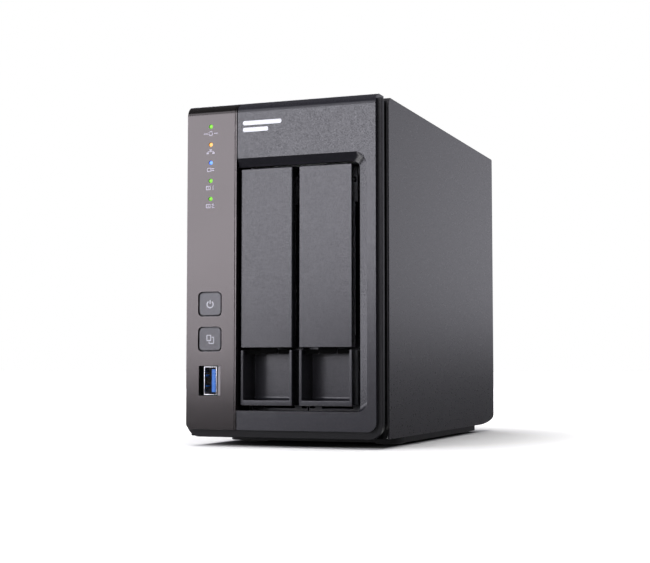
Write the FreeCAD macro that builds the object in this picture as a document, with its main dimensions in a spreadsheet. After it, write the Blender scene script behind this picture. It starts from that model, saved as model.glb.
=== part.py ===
import FreeCAD, Part
import Sketcher
import math
import os
import re

# Two-bay network storage unit.  X runs to the right as seen from the front, the front
# faces -Y, and Z is up.  The origin is on the floor, under the middle of the case.

SIZES = {
    # Outside of the case
    "case_width": 102,
    "case_depth": 219,
    "case_height": 168.5,
    "skirt": 4.5,            # height of the case's underside above the floor
    "sheet": 1,              # steel sheet of the cover, pan, panel and cage
    "slip": 0.15,            # gap between fixed pieces that slide together
    "cover_bend": 1,
    "cover_lip": 5,          # radius of the cover's front edge on top
    "kick_length": 36,       # the underside sweeps up over this length at the rear
    "kick_rise": 5,
    # Layers of the front, from the outside in
    "plate_wall": 2.5,
    "plate_right": 48.5,
    "strip_left": -50.1,
    "plate_bottom": 8.2,
    "plate_round": 6,
    "frame_flange": 3.2,
    "groove_width": 5,
    "groove_depth": 3,
    "rear_flange": 1.8,
    "frame_tongue": 4,       # part of the frame that enters the cover
    "frame_corner": 7,
    "strip_right": -23.4,    # right edge of the indicator strip
    "strip_rim": 0.5,        # beside it a fine groove, as wide and as deep
    "plate_left": -22.8,
    # Window in the front plate
    "window_right": 39.9,
    "window_bottom": 17.6,
    "window_top": 136.3,
    "window_bevel": 4.2,
    "tunnel_left": -23.5,
    "tunnel_bottom": 16.6,
    "tunnel_top": 138.6,
    "tunnel_wall": 1.5,
    # Controls on the indicator strip
    "controls_x": -37.4,
    "power_z": 69.4,
    "copy_z": 52.2,
    "button_hole_wide": 12.9,
    "button_hole_high": 12.4,
    "button_gap": 0.55,
    "button_travel": 0.8,
    "usb_hole_wide": 11.8,
    "usb_hole_high": 14.7,
    "usb_z": 31.9,
    "usb_wide": 6.8,
    "usb_high": 13.8,
    "lamp_top_z": 157.3,
    "lamp_pitch": 9,
    "lamp_radius": 1.1,
    # Drive bays
    "bays_x": 6.65,
    "bay_pitch": 30.7,
    "bays_wide": 61.7,
    "cage_bottom": 16,
    "cage_top": 137.5,
    "cage_rear": 72,
    "tray_wide": 27,
    "tray_face": 3.2,        # cup and lever faces behind the front of the case
    "cup_bottom": 20,
    "cup_top": 46.8,
    "cup_wall": 1.4,
    "cup_floor": 2.5,
    "cup_deep": 14.3,
    "lever_bottom": 48,
    "lever_top": 135.4,
    "lever_wall": 2,
    "lever_skirt": 1.5,
    "hinge_y": -101.3,
    "hinge_z": 128.5,
    "pin_radius": 1.5,
    "running_gap": 0.05,
    "rail_bottom": 21.5,
    "rail_top": 133,
    "rail_high": 4.7,
    # 3.5 inch drive, standing on its long edge
    "drive_thick": 26.1,
    "drive_wide": 101.6,
    "drive_long": 147,
    "drive_front": -87.6,
    "drive_bottom": 26.4,
    # Boards
    "board_thick": 1.6,
    "main_board_x": -30.2,
    "backplane_y": 66.5,
    # Rear
    "panel_back": 108.2,
    "fan_size": 70,
    "fan_deep": 25,
    "fan_z": 82,
    "fan_bore": 33.2,
    "fan_pitch": 60,
    "shaft_radius": 1.5,
}

CLOSE = 1e-3

LAMPS = 5
BLADES = 7
CAGE_SCREWS = [(x, y) for x in (-15, 28) for y in (-75, 55)]
STANDOFFS = [(y, z) for y in (-62, 40) for z in (20, 150)]
DRIVE_SCREWS = (-60, 41)
DRIVE_SEATS = (("rail_bottom", 1), ("rail_top", -1))
LOCK_SLOT_Z = 19
RESET_Z = 54
PORT_OUT = 0.5
PORT_SIZES = {
    # name: height of its middle, its size along Z, its height above the board
    "usb_stack": (146, 13.1, 15.6),
    "video": (125, 15, 6.2),
    "usb_single": (107, 13.1, 7),
    "lan_upper": (88, 16, 13.5),
    "lan_lower": (69.5, 16, 13.5),
    "jack": (38, 11, 11),
}

document = FreeCAD.newDocument("storage_unit")
sheet = document.addObject("Spreadsheet::Sheet", "Sizes")
for row, (alias, number) in enumerate(SIZES.items(), start=1):
    sheet.set(f"A{row}", alias)
    sheet.set(f"B{row}", str(number))
    sheet.setAlias(f"B{row}", alias)
document.recompute()

# Places that follow from the sizes, written as formulas of the sheet's cells
SIDE = "(case_width / 2)"
FRONT = "(-case_depth / 2)"
REAR = "(case_depth / 2)"
PLATE_BACK = f"({FRONT} + plate_wall)"
FLANGE_BACK = f"({PLATE_BACK} + frame_flange)"
GROOVE_BACK = f"({FLANGE_BACK} + groove_width)"
COVER_FRONT = f"({GROOVE_BACK} + rear_flange)"
INSIDE = f"({SIDE} - sheet - slip)"
KICK_START = f"({REAR} - kick_length)"
KICK_TOP = "(skirt + kick_rise)"
PANEL_FRONT = "(panel_back - sheet)"
TRAY_FACE = f"({FRONT} + tray_face)"
CUP_BACK = f"({TRAY_FACE} + cup_deep)"
BAYS_LEFT = "(bays_x - bays_wide / 2)"
BAYS_RIGHT = "(bays_x + bays_wide / 2)"
BOARD_BACK = "(main_board_x + board_thick)"
FRONT_BOARD_Y = f"({FRONT} + 13.5)"
FAN_FRONT = f"({PANEL_FRONT} - slip - fan_deep)"
BAYS = {"left": "(bays_x - bay_pitch / 2)", "right": "(bays_x + bay_pitch / 2)"}

sub_parts = []


# ---------------------------------------------------------------- helpers

def formula(text):
    """The text with every size's name pointing at its cell."""
    return re.sub(r"[a-z][a-z_]+", lambda word: f"Sizes.{word.group(0)}", str(text))


def value(text):
    return float(sheet.evalExpression(formula(text)))


def bind(thing, prop, text):
    thing.setExpression(prop, formula(text))


def keep(thing, name):
    """Name a finished sub-part; its label is its file's name."""
    thing.Label = name
    sub_parts.append(thing)
    return thing


def new_body(name):
    return document.addObject("PartDesign::Body", name + "_body")


def rectangle(left, right, bottom, top):
    return [(left, bottom), (right, bottom), (right, top), (left, top)]


def centred(x, y, wide, high):
    return rectangle(f"({x}) - ({wide}) / 2", f"({x}) + ({wide}) / 2",
                     f"({y}) - ({high}) / 2", f"({y}) + ({high}) / 2")


def circle(x, y, radius):
    return {"x": x, "y": y, "radius": radius}


def arc_between(start, end, radius):
    """The short anticlockwise arc from one point to another."""
    chord = end - start
    left = FreeCAD.Vector(-chord.y, chord.x, 0).normalize()
    rise = math.sqrt(max(radius ** 2 - (chord.Length / 2) ** 2, 0))
    centre = start + chord / 2 + left * rise
    first = math.atan2(start.y - centre.y, start.x - centre.x)
    last = math.atan2(end.y - centre.y, end.x - centre.x)
    return Part.ArcOfCircle(Part.Circle(centre, FreeCAD.Vector(0, 0, 1), radius), first, last)


def tie(sketch, geometry, point, x, y):
    """Hold a point of the sketch at a place given by two formulas."""
    for kind, text in (("DistanceX", x), ("DistanceY", y)):
        number = sketch.addConstraint(
            Sketcher.Constraint(kind, -1, 1, geometry, point, value(text)))
        sketch.setExpression(f"Constraints[{number}]", formula(text))


def tie_radius(sketch, geometry, text):
    number = sketch.addConstraint(Sketcher.Constraint("Radius", geometry, value(text)))
    sketch.setExpression(f"Constraints[{number}]", formula(text))


def draw_circle(sketch, ring):
    centre = FreeCAD.Vector(value(ring["x"]), value(ring["y"]), 0)
    curve = Part.Circle(centre, FreeCAD.Vector(0, 0, 1), value(ring["radius"]))
    number = sketch.addGeometry(curve)
    tie(sketch, number, 3, ring["x"], ring["y"])
    tie_radius(sketch, number, ring["radius"])


def draw_loop(sketch, corners):
    """Draw a closed outline.

    A corner is (x, y), or (x, y, radius) where an anticlockwise arc leads to the next one.
    """
    first = sketch.GeometryCount
    count = len(corners)
    places = [FreeCAD.Vector(value(corner[0]), value(corner[1]), 0) for corner in corners]
    for number, corner in enumerate(corners):
        start = places[number]
        end = places[(number + 1) % count]
        if len(corner) == 3:
            sketch.addGeometry(arc_between(start, end, value(corner[2])))
        else:
            sketch.addGeometry(Part.LineSegment(start, end))
    for number, corner in enumerate(corners):
        following = first + (number + 1) % count
        sketch.addConstraint(Sketcher.Constraint("Coincident", first + number, 2, following, 1))
    for number, corner in enumerate(corners):
        tie(sketch, first + number, 1, corner[0], corner[1])
        if len(corner) == 3:
            tie_radius(sketch, first + number, corner[2])


def new_sketch(body, plane, height, outlines):
    sketch = body.newObject("Sketcher::SketchObject", "outline")
    role = plane + "_Plane"
    origin_plane = next(item for item in body.Origin.OriginFeatures if item.Role == role)
    sketch.AttachmentSupport = [(origin_plane, "")]
    sketch.MapMode = "FlatFace"
    sign = "-1" if plane == "XZ" else "1"
    bind(sketch, "AttachmentOffset.Base.z", f"{sign} * ({height})")
    for outline in outlines:
        if isinstance(outline, dict):
            draw_circle(sketch, outline)
        else:
            draw_loop(sketch, outline)
    return sketch


def pad(body, plane, low, high, *outlines):
    """Add the outlines as a solid between two heights above the plane."""
    feature = body.newObject("PartDesign::Pad", "pad")
    feature.Profile = new_sketch(body, plane, low, outlines)
    feature.Reversed = plane == "XZ"
    bind(feature, "Length", f"({high}) - ({low})")
    document.recompute()
    return feature


def pocket(body, plane, low, high, *outlines):
    """Cut the outlines out of the body between two heights above the plane."""
    before = body.Shape.Volume
    feature = body.newObject("PartDesign::Pocket", "pocket")
    feature.Profile = new_sketch(body, plane, low, outlines)
    feature.Reversed = plane != "XZ"
    bind(feature, "Length", f"({high}) - ({low})")
    document.recompute()
    if body.Shape.Volume > before - CLOSE:
        raise RuntimeError(f"a pocket of {body.Name} cuts nothing")
    return feature


def repeat(body, feature, length, count):
    """Repeat a feature along its sketch's horizontal axis, over an overall length."""
    pattern = body.newObject("PartDesign::LinearPattern", "row")
    pattern.Originals = [feature]
    pattern.Direction = (feature.Profile[0], ["H_Axis"])
    pattern.Occurrences = count
    bind(pattern, "Length", length)
    body.Tip = pattern
    document.recompute()
    return pattern


def edges_along(shape, axis, **places):
    """Names of the straight edges along an axis that pass through the given places."""
    names = []
    for number, edge in enumerate(shape.Edges, start=1):
        box = edge.BoundBox
        lengths = {"X": box.XLength, "Y": box.YLength, "Z": box.ZLength}
        middle = {"X": box.Center.x, "Y": box.Center.y, "Z": box.Center.z}
        straight = lengths[axis] > CLOSE and sum(lengths.values()) - lengths[axis] < CLOSE
        if straight and all(abs(middle[key] - value(text)) < CLOSE * 10
                            for key, text in places.items()):
            names.append(f"Edge{number}")
    return names


def fillet(body, radius, *choices):
    """Round edges; each choice is (axis, {axis: place, ...})."""
    names = [name for axis, places in choices
             for name in edges_along(body.Shape, axis, **places)]
    if len(names) < len(choices):
        raise RuntimeError(f"an edge of {body.Name} to round is missing")
    base = body.Tip
    feature = body.newObject("PartDesign::Fillet", "fillet")
    feature.Base = (base, names)
    bind(feature, "Radius", radius)
    document.recompute()
    if "Invalid" in feature.State:
        raise RuntimeError(f"a fillet of {body.Name} fails")
    return feature


def block(x, y, z):
    """A box between pairs of formulas."""
    solid = document.addObject("Part::Box", "block")
    for prop, (low, high) in (("Length", x), ("Width", y), ("Height", z)):
        bind(solid, prop, f"({high}) - ({low})")
    for axis, (low, high) in (("x", x), ("y", y), ("z", z)):
        bind(solid, f"Placement.Base.{axis}", low)
    return solid


def rod(axis, low, high, centre, radius):
    """A cylinder along an axis; the centre holds the two other places, in axis order."""
    solid = document.addObject("Part::Cylinder", "rod")
    turns = {"X": FreeCAD.Rotation(FreeCAD.Vector(0, 1, 0), 90),
             "Y": FreeCAD.Rotation(FreeCAD.Vector(1, 0, 0), -90),
             "Z": FreeCAD.Rotation()}
    solid.Placement = FreeCAD.Placement(FreeCAD.Vector(), turns[axis])
    bind(solid, "Radius", radius)
    bind(solid, "Height", f"({high}) - ({low})")
    others = [name for name in "XYZ" if name != axis]
    places = {axis: low, others[0]: centre[0], others[1]: centre[1]}
    for name, text in places.items():
        bind(solid, f"Placement.Base.{name.lower()}", text)
    return solid


def group(pieces):
    """Separate solids held as one thing."""
    bundle = document.addObject("Part::Compound", "group")
    bundle.Links = pieces
    return bundle


def fuse(*pieces):
    whole = document.addObject("Part::MultiFuse", "fuse")
    whole.Shapes = list(pieces)
    return whole


def common(first, second):
    result = document.addObject("Part::Common", "common")
    result.Base = first
    result.Tool = second
    return result


def cut(base, *tools):
    result = document.addObject("Part::Cut", "cut")
    result.Base = base
    result.Tool = tools[0] if len(tools) == 1 else group(list(tools))
    return result


def half_ellipse_prism(long_radius, short_radius):
    """An elliptic prism across the case, under the rear sweep of the underside."""
    curve = document.addObject("Part::Ellipse", "ellipse")
    curve.Placement = FreeCAD.Placement(
        FreeCAD.Vector(), FreeCAD.Rotation(FreeCAD.Vector(1, 1, 1), 120))
    bind(curve, "MajorRadius", long_radius)
    bind(curve, "MinorRadius", short_radius)
    bind(curve, "Placement.Base.x", f"-{SIDE} - sheet")
    bind(curve, "Placement.Base.y", KICK_START)
    bind(curve, "Placement.Base.z", KICK_TOP)
    prism = document.addObject("Part::Extrusion", "prism")
    prism.Base = curve
    prism.DirMode = "Normal"
    prism.Solid = True
    bind(prism, "LengthFwd", "case_width + 2 * sheet")
    return prism


def screw(axis, seat, direction, centre, head_radius, head_high, shank_radius, shank_long):
    """A cross-head screw; its head stands on the seat and its shank goes in a direction."""
    def span(near, far):
        ends = (f"{seat} + {direction} * ({near})", f"{seat} + {direction} * ({far})")
        return ends if direction > 0 else ends[::-1]

    head = rod(axis, *span(f"-({head_high})", 0), centre, head_radius)
    shank = rod(axis, *span(0, shank_long), centre, shank_radius)
    others = [name for name in "XYZ" if name != axis]
    recess = []
    for reach in ((0.6, 0.12), (0.12, 0.6)):
        places = {axis: span(f"-({head_high}) - 1", f"-({head_high}) / 2")}
        for name, middle, share in zip(others, centre, reach):
            places[name] = (f"({middle}) - {share} * {head_radius}",
                            f"({middle}) + {share} * {head_radius}")
        recess.append(block(places["X"], places["Y"], places["Z"]))
    return cut(fuse(head, shank), fuse(*recess))


# ---------------------------------------------------------------- case

COVER_SCREWS = [(f"{side} * ({SIDE} - 5)", height) for side in (-1, 1) for height in (22, 160)]


def outer_cover():
    shell = new_body("cover")
    pad(shell, "YZ", f"-{SIDE}", SIDE, rectangle(COVER_FRONT, REAR, "skirt", "case_height"))
    fillet(shell, "cover_bend",
           ("Y", {"X": SIDE, "Z": "case_height"}), ("Y", {"X": f"-{SIDE}", "Z": "case_height"}))
    inner = "(case_height - sheet)"
    lip = "(case_height - cover_lip)"
    pocket(shell, "YZ", f"-{SIDE} + sheet", f"{SIDE} - sheet", [
        (f"{COVER_FRONT} - 1", "skirt - 1"),
        (f"{REAR} + 1", "skirt - 1"),
        (f"{REAR} + 1", inner),
        (f"{COVER_FRONT} + cover_lip", inner, "cover_lip - sheet"),
        (f"{COVER_FRONT} + sheet", lip),
        (f"{COVER_FRONT} - 1", lip),
    ])
    corner = cut(
        block((f"-{SIDE} - 1", f"{SIDE} + 1"), (f"{COVER_FRONT} - 1", f"{COVER_FRONT} + cover_lip"),
              (lip, "case_height + 1")),
        rod("X", f"-{SIDE} - 1", f"{SIDE} + 1", (f"{COVER_FRONT} + cover_lip", lip), "cover_lip"))
    # Folded tabs that take the screws of the rear panel
    tabs = []
    for across, height in COVER_SCREWS:
        wall = f"({SIDE} - 0.5)" if value(across) > 0 else f"-({SIDE} - 0.5)"
        tab = block(sorted((wall, f"({across}) * 0.91"), key=value),
                    (f"{PANEL_FRONT} - slip - sheet", f"{PANEL_FRONT} - slip"), (height - 6, height + 6))
        tabs.append(cut(tab, rod("Y", "95", "110", (across, height), "1.6")))
    keep(cut(fuse(shell, *tabs), fuse(corner, kick_waste())), "outer_cover")


def kick_waste():
    """What the sweep takes off the lower rear edge of the cover."""
    return cut(block((f"-{SIDE} - 1", f"{SIDE} + 1"), (KICK_START, f"{REAR} + 1"), (0, KICK_TOP)),
               half_ellipse_prism("kick_length", "kick_rise"))


def base_pan():
    flat = block((f"-{INSIDE}", INSIDE), (f"{COVER_FRONT} + frame_tongue + slip", KICK_START),
                 ("skirt", "skirt + sheet"))
    flat = cut(flat, *[rod("Z", "skirt - 1", "skirt + sheet + 1", place, "1.6") for place in CAGE_SCREWS])
    sweep = common(
        cut(half_ellipse_prism("kick_length - 1", "kick_rise"),
            half_ellipse_prism("kick_length - 1 - sheet", "kick_rise - sheet")),
        block((f"-{INSIDE}", INSIDE), (KICK_START, REAR), ("skirt", KICK_TOP)))
    keep(fuse(flat, sweep), "base_pan")


def base_plinth():
    body = new_body("plinth")
    pad(body, "XY", "1", "skirt", rectangle("-47", "47", "-67", "83"))
    fillet(body, "6", *[("Z", {"X": x, "Y": y}) for x in (-47, 47) for y in (-67, 83)])
    pocket(body, "XY", "0", "2", *[circle(x, y, 7.1) for x in (-37, 37) for y in (-55, 71)])
    keep(body, "base_plinth")


def rubber_feet():
    keep(group([rod("Z", 0, 2, (x, y), 7) for x in (-37, 37) for y in (-55, 71)]), "rubber_feet")


def port_hole(name):
    middle, high, rise = PORT_SIZES[name]
    gap = 0.3
    return rectangle(f"main_board_x - {rise} - {gap}", f"main_board_x + {gap}",
                     f"{middle} - {high} / 2 - {gap}", f"{middle} + {high} / 2 + {gap}")


def rear_panel():
    body = new_body("rear_panel")
    pad(body, "XZ", PANEL_FRONT, "panel_back",
        rectangle(f"-{INSIDE}", INSIDE, f"{KICK_TOP} + slip", "case_height - sheet - slip"))
    pocket(body, "XZ", f"{PANEL_FRONT} - 1", "panel_back + 1",
           *[port_hole(name) for name in PORT_SIZES],
           circle("main_board_x - 4", RESET_Z, 1.3))
    lock = rectangle("main_board_x - 9", "main_board_x - 2",
                     f"{LOCK_SLOT_Z} - 1.6", f"{LOCK_SLOT_Z} + 1.6")
    pocket(body, "XZ", f"{PANEL_FRONT} - 1", "panel_back + 1", lock)
    fillet(body, "1", *[("Y", {"X": x, "Z": z})
                        for x in ("main_board_x - 9", "main_board_x - 2")
                        for z in (LOCK_SLOT_Z - 1.6, LOCK_SLOT_Z + 1.6)])
    pocket(body, "XZ", f"{PANEL_FRONT} - 1", "panel_back + 1", *fan_holes("2.2"),
           circle("bays_x", "fan_z", 2.4))
    middle = new_sketch(body, "XZ", PANEL_FRONT, [circle("0", "0", "1")])
    bind(middle, "AttachmentOffset.Base.x", "bays_x")
    bind(middle, "AttachmentOffset.Base.y", "fan_z")
    for ring in range(1, 6):
        grille_ring(body, middle, ring)
    # Rows of slots above and below the fan: one column, repeated
    slots = pocket(body, "XZ", f"{PANEL_FRONT} - 1", "panel_back + 1",
                   *[centred("bays_x - 28", row, 5, 2) for row in (20, 25, 30, 35, 129, 134, 139, 144)])
    repeat(body, slots, "56", 9)
    pocket(body, "XZ", f"{PANEL_FRONT} - 1", "panel_back + 1",
           *[circle(across, height, "1.6") for across, height in COVER_SCREWS])
    keep(body, "rear_panel")


def fan_holes(radius):
    return [circle(f"bays_x + {x} * fan_pitch / 2", f"fan_z + {z} * fan_pitch / 2", radius)
            for x in (-1, 1) for z in (-1, 1)]


def grille_ring(body, middle, ring):
    """A ring of round holes behind the fan: one hole, repeated about the middle sketch."""
    hole = pocket(body, "XZ", f"{PANEL_FRONT} - 1", "panel_back + 1",
                  circle("bays_x", f"fan_z + {ring} * 6.2", "2.45"))
    pattern = body.newObject("PartDesign::PolarPattern", "ring")
    pattern.Originals = [hole]
    pattern.Axis = (middle, ["N_Axis"])
    pattern.Angle = 360
    pattern.Occurrences = 6 * ring
    body.Tip = pattern
    document.recompute()


# ---------------------------------------------------------------- front

def front_frame():
    body = new_body("frame")
    top = "(case_height - plate_wall)"

    def outline(inset, top=top, corner=None):
        corner = corner or f"(frame_corner - ({inset}))"
        low = f"skirt + {inset}"
        side = f"({SIDE} - ({inset}))"
        return [(f"{side} - {corner}", low, corner), (side, f"{low} + {corner}"), (side, top),
                (f"-{side}", top), (f"-{side}", f"{low} + {corner}", corner),
                (f"-{side} + {corner}", low)]

    pad(body, "XZ", PLATE_BACK, FLANGE_BACK, outline("0"))
    pad(body, "XZ", FLANGE_BACK, GROOVE_BACK, outline("groove_depth"))
    pad(body, "XZ", GROOVE_BACK, COVER_FRONT, outline("0.4"))
    pad(body, "XZ", COVER_FRONT, f"{COVER_FRONT} + frame_tongue",
        outline("sheet + slip", "(case_height - cover_lip - slip)", "1"))
    # Tunnel for the two trays
    pocket(body, "XZ", f"{PLATE_BACK} - 1", f"{COVER_FRONT} + frame_tongue + 1",
           rectangle("tunnel_left", "window_right", "tunnel_bottom", "tunnel_top"))
    # Hollows behind the front wall, left and right of the tunnel and above it
    hollow_front = f"{PLATE_BACK} + 3"
    hollow_back = f"{COVER_FRONT} + frame_tongue + 1"
    wall = f"({SIDE} - groove_depth - 2)"
    pocket(body, "XZ", hollow_front, hollow_back,
           rectangle(f"-{wall}", "tunnel_left - tunnel_wall", "plate_bottom + 4", f"{top} - 2"),
           rectangle("window_right + tunnel_wall", wall, "plate_bottom + 4", f"{top} - 2"),
           rectangle("tunnel_left", "window_right", "tunnel_top + tunnel_wall", f"{top} - 2"))
    # Openings behind the controls
    pocket(body, "XZ", f"{PLATE_BACK} - 1", f"{hollow_front} + 1",
           centred("controls_x", "power_z", "button_hole_wide + 3", "button_hole_high + 3"),
           centred("controls_x", "copy_z", "button_hole_wide + 3", "button_hole_high + 3"),
           centred("controls_x", "usb_z", "usb_hole_wide + 1", "usb_hole_high + 1"),
           centred("controls_x", "lamp_top_z - 2 * lamp_pitch", "5", "5 * lamp_pitch"))
    keep(body, "front_frame")


def front_skin(body, left, right, sunk="0"):
    """The front plate's section: a flat wall with a rounded edge on to the top of the case."""
    front = f"({FRONT} + {sunk})"
    top = f"(case_height - {sunk})"
    top_back = f"({COVER_FRONT} - slip)"
    inner_top = "(case_height - plate_wall)"
    pad(body, "YZ", left, right, [
        (front, "plate_bottom"),
        (PLATE_BACK, "plate_bottom"),
        (PLATE_BACK, inner_top),
        (top_back, inner_top),
        (top_back, top),
        (f"{FRONT} + plate_round", top, f"plate_round - {sunk}"),
        (front, "case_height - plate_round"),
    ])


def front_plate():
    body = new_body("front_plate")
    front_skin(body, "plate_left", "plate_right")
    pocket(body, "XZ", f"{FRONT} - 1", f"{PLATE_BACK} + slip",
           rectangle("plate_left - 1", "window_right", "window_bottom", "window_top"))
    fillet(body, "3.5", ("Y", {"X": "window_right", "Z": "window_top"}),
           ("Y", {"X": "window_right", "Z": "window_bottom"}))
    fillet(body, "4.5", ("Y", {"X": "plate_right", "Z": "plate_bottom"}))
    keep(cut(body, window_bevel()), "front_plate")


def window_bevel():
    """The wide bevel along the top and the right of the window, as the solid it removes.

    The loft runs from the window's outline at the plate's back to a larger one in front.
    The lower edge falls towards the back, so that it can't be seen from in front.
    """
    def outline(name, y, spread, low, radius):
        left = value("plate_left") - 10
        right = value("window_right") + spread
        high = value("window_top") + spread
        out = FreeCAD.Vector(radius, 0, 0)
        up = FreeCAD.Vector(0, 0, radius)
        lower = FreeCAD.Vector(right, y, low) - out + up
        upper = FreeCAD.Vector(right, y, high) - out - up
        points = [FreeCAD.Vector(left, y, low), lower - up, lower + out, upper + out, upper + up,
                  FreeCAD.Vector(left, y, high)]
        diagonal = math.sqrt(0.5)
        wire = document.addObject("Part::Feature", name)
        wire.Shape = Part.Wire([
            Part.makeLine(points[0], points[1]),
            Part.Arc(points[1], lower + (out - up) * diagonal, points[2]).toShape(),
            Part.makeLine(points[2], points[3]),
            Part.Arc(points[3], upper + (out + up) * diagonal, points[4]).toShape(),
            Part.makeLine(points[4], points[5]),
            Part.makeLine(points[5], points[0])])
        return wire

    beyond = 0.1
    reach = 1 + beyond / value("plate_wall")
    back = outline("bevel_back", value(PLATE_BACK), 0, value("tunnel_bottom"), 3.5)
    front = outline("bevel_front", value(FRONT) - beyond, value("window_bevel") * reach,
                    value("window_bottom"), 3.5 + 1.5 * reach)
    loft = document.addObject("Part::Loft", "bevel")
    loft.Sections = [front, back]
    loft.Solid = True
    loft.Ruled = True
    return loft


def indicator_strip():
    body = new_body("strip")
    front_skin(body, "strip_left", "strip_right - 2 * strip_rim")
    front_skin(body, "strip_right - 2 * strip_rim", "strip_right - strip_rim", "strip_rim")
    front_skin(body, "strip_right - strip_rim", "strip_right")
    fillet(body, "3", ("Y", {"X": "strip_left", "Z": "plate_bottom"}))
    through = (f"{FRONT} - 1", f"{PLATE_BACK} + slip")
    holes = [centred("controls_x", place, "button_hole_wide", "button_hole_high")
             for place in ("power_z", "copy_z")]
    pocket(body, "XZ", *through, *holes)
    corners = [("Y", {"X": f"controls_x + {x} * button_hole_wide / 2",
                      "Z": f"{place} + {z} * button_hole_high / 2"})
               for place in ("power_z", "copy_z") for x in (-1, 1) for z in (-1, 1)]
    fillet(body, "2.4", *corners)
    # The right side of the socket's hole slopes outwards
    hole_left = "controls_x - usb_hole_wide / 2"
    socket_right = "controls_x + usb_wide / 2 + 0.3"
    hole_right = "controls_x + usb_hole_wide / 2"
    pocket(body, "XY", "usb_z - usb_hole_high / 2", "usb_z + usb_hole_high / 2", [
        (hole_left, f"{FRONT} - 1"), (hole_right, f"{FRONT} - 1"), (hole_right, FRONT),
        (socket_right, f"{FRONT} + 1.8"), (socket_right, f"{PLATE_BACK} + slip"),
        (hole_left, f"{PLATE_BACK} + slip")])
    pocket(body, "XZ", *through,
           *[circle("controls_x", f"lamp_top_z - {number} * lamp_pitch", "lamp_radius + 0.05")
             for number in range(LAMPS)])
    keep(body, "indicator_strip")


def front_button(name, place):
    """A square cap with a flange behind the strip and a stem that reaches its switch."""
    wide = "button_hole_wide - 2 * button_gap"
    high = "button_hole_high - 2 * button_gap"
    body = new_body(name)
    pad(body, "XZ", f"{FRONT} + 0.3", f"{PLATE_BACK} + 0.2", centred("controls_x", place, wide, high))
    fillet(body, "2.1", *[("Y", {"X": f"controls_x + {x} * ({wide}) / 2",
                                 "Z": f"{place} + {z} * ({high}) / 2"})
                          for x in (-1, 1) for z in (-1, 1)])
    fillet(body, "0.4", ("X", {"Y": f"{FRONT} + 0.3"}))
    pad(body, "XZ", f"{PLATE_BACK} + 0.1", f"{PLATE_BACK} + 1.1",
        centred("controls_x", place, "button_hole_wide + 1.4", "button_hole_high + 1.4"))
    pad(body, "XZ", f"{PLATE_BACK} + 1", f"{FRONT_BOARD_Y} - 5.2 - button_travel",
        circle("controls_x", place, 1.8))
    keep(body, name)


def light_guides():
    """One clear rod for each lamp, from the board to the face of the strip."""
    keep(group([rod("Y", FRONT, f"{FRONT_BOARD_Y} - 1",
                    ("controls_x", f"lamp_top_z - {number} * lamp_pitch"), "lamp_radius")
                for number in range(LAMPS)]), "light_guides")


def front_board():
    back = f"{FRONT_BOARD_Y} + board_thick"
    board = cut(block(("controls_x - 8.2", "controls_x + 9.8"), (FRONT_BOARD_Y, back), (20, 162)),
                rod("Y", "-100", "-90", ("controls_x - 5.5", 158.5), 1.6),
                rod("Y", "-100", "-90", ("controls_x + 5.5", 42), 1.6))
    lamps = [block(("controls_x - 0.8", "controls_x + 0.8"), (f"{FRONT_BOARD_Y} - 0.8", FRONT_BOARD_Y),
                   (f"lamp_top_z - {number} * lamp_pitch - 0.8",
                    f"lamp_top_z - {number} * lamp_pitch + 0.8"))
             for number in range(LAMPS)]
    keep(group([board] + lamps), "front_board")


def tact_switches():
    """The small switches behind the two front buttons and behind the reset hole."""
    pieces = []
    for place in ("power_z", "copy_z"):
        base = block(("controls_x - 3", "controls_x + 3"), (f"{FRONT_BOARD_Y} - 3.8", FRONT_BOARD_Y),
                     (f"{place} - 3", f"{place} + 3"))
        tip = rod("Y", f"{FRONT_BOARD_Y} - 5", f"{FRONT_BOARD_Y} - 3.7", ("controls_x", place), 1.6)
        pieces.append(fuse(base, tip))
    housing = block(("main_board_x - 7", "main_board_x"), ("panel_back - 9", "panel_back - 3.4"),
                    (RESET_Z - 3.5, RESET_Z + 3.5))
    bore = rod("Y", "panel_back - 8", "panel_back", ("main_board_x - 4", RESET_Z), 1.1)
    pieces.append(cut(housing, bore))
    keep(group(pieces), "tact_switches")
    keep(rod("Y", "panel_back - 7", "panel_back - 1.4", ("main_board_x - 4", RESET_Z), 1), "reset_button")


def tube(x, y, z, wall):
    """A rectangular tube along Y, as the shell of a socket."""
    hole = block((f"({x[0]}) + {wall}", f"({x[1]}) - {wall}"), (f"({y[0]}) - 1", f"({y[1]}) + 1"),
                 (f"({z[0]}) + {wall}", f"({z[1]}) - {wall}"))
    return cut(block(x, y, z), hole)


def front_usb():
    front = f"{FRONT} + 1"
    x = ("controls_x - usb_wide / 2", "controls_x + usb_wide / 2")
    z = ("usb_z - usb_high / 2", "usb_z + usb_high / 2")
    keep(tube(x, (front, FRONT_BOARD_Y), z, 0.35), "front_usb_shell")
    bed = block((f"({x[0]}) + 0.35", f"({x[1]}) - 0.35"), (f"{FRONT_BOARD_Y} - 3", FRONT_BOARD_Y),
                (f"({z[0]}) + 0.35", f"({z[1]}) - 0.35"))
    blade = block(("controls_x + 0.3", "controls_x + 2.2"), (f"{front} + 1", f"{FRONT_BOARD_Y} - 2"),
                  ("usb_z - 5.6", "usb_z + 5.6"))
    keep(fuse(bed, blade), "front_usb_tongue")
    strips = [block(("controls_x + 0.1", "controls_x + 0.3"), (f"{front} + 2", f"{FRONT_BOARD_Y} - 3"),
                    (f"usb_z + {offset} - 0.5", f"usb_z + {offset} + 0.5"))
              for offset in (-3.5, -1, 1, 3.5)]
    keep(group(strips), "front_usb_contacts")


# ---------------------------------------------------------------- bays

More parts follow.
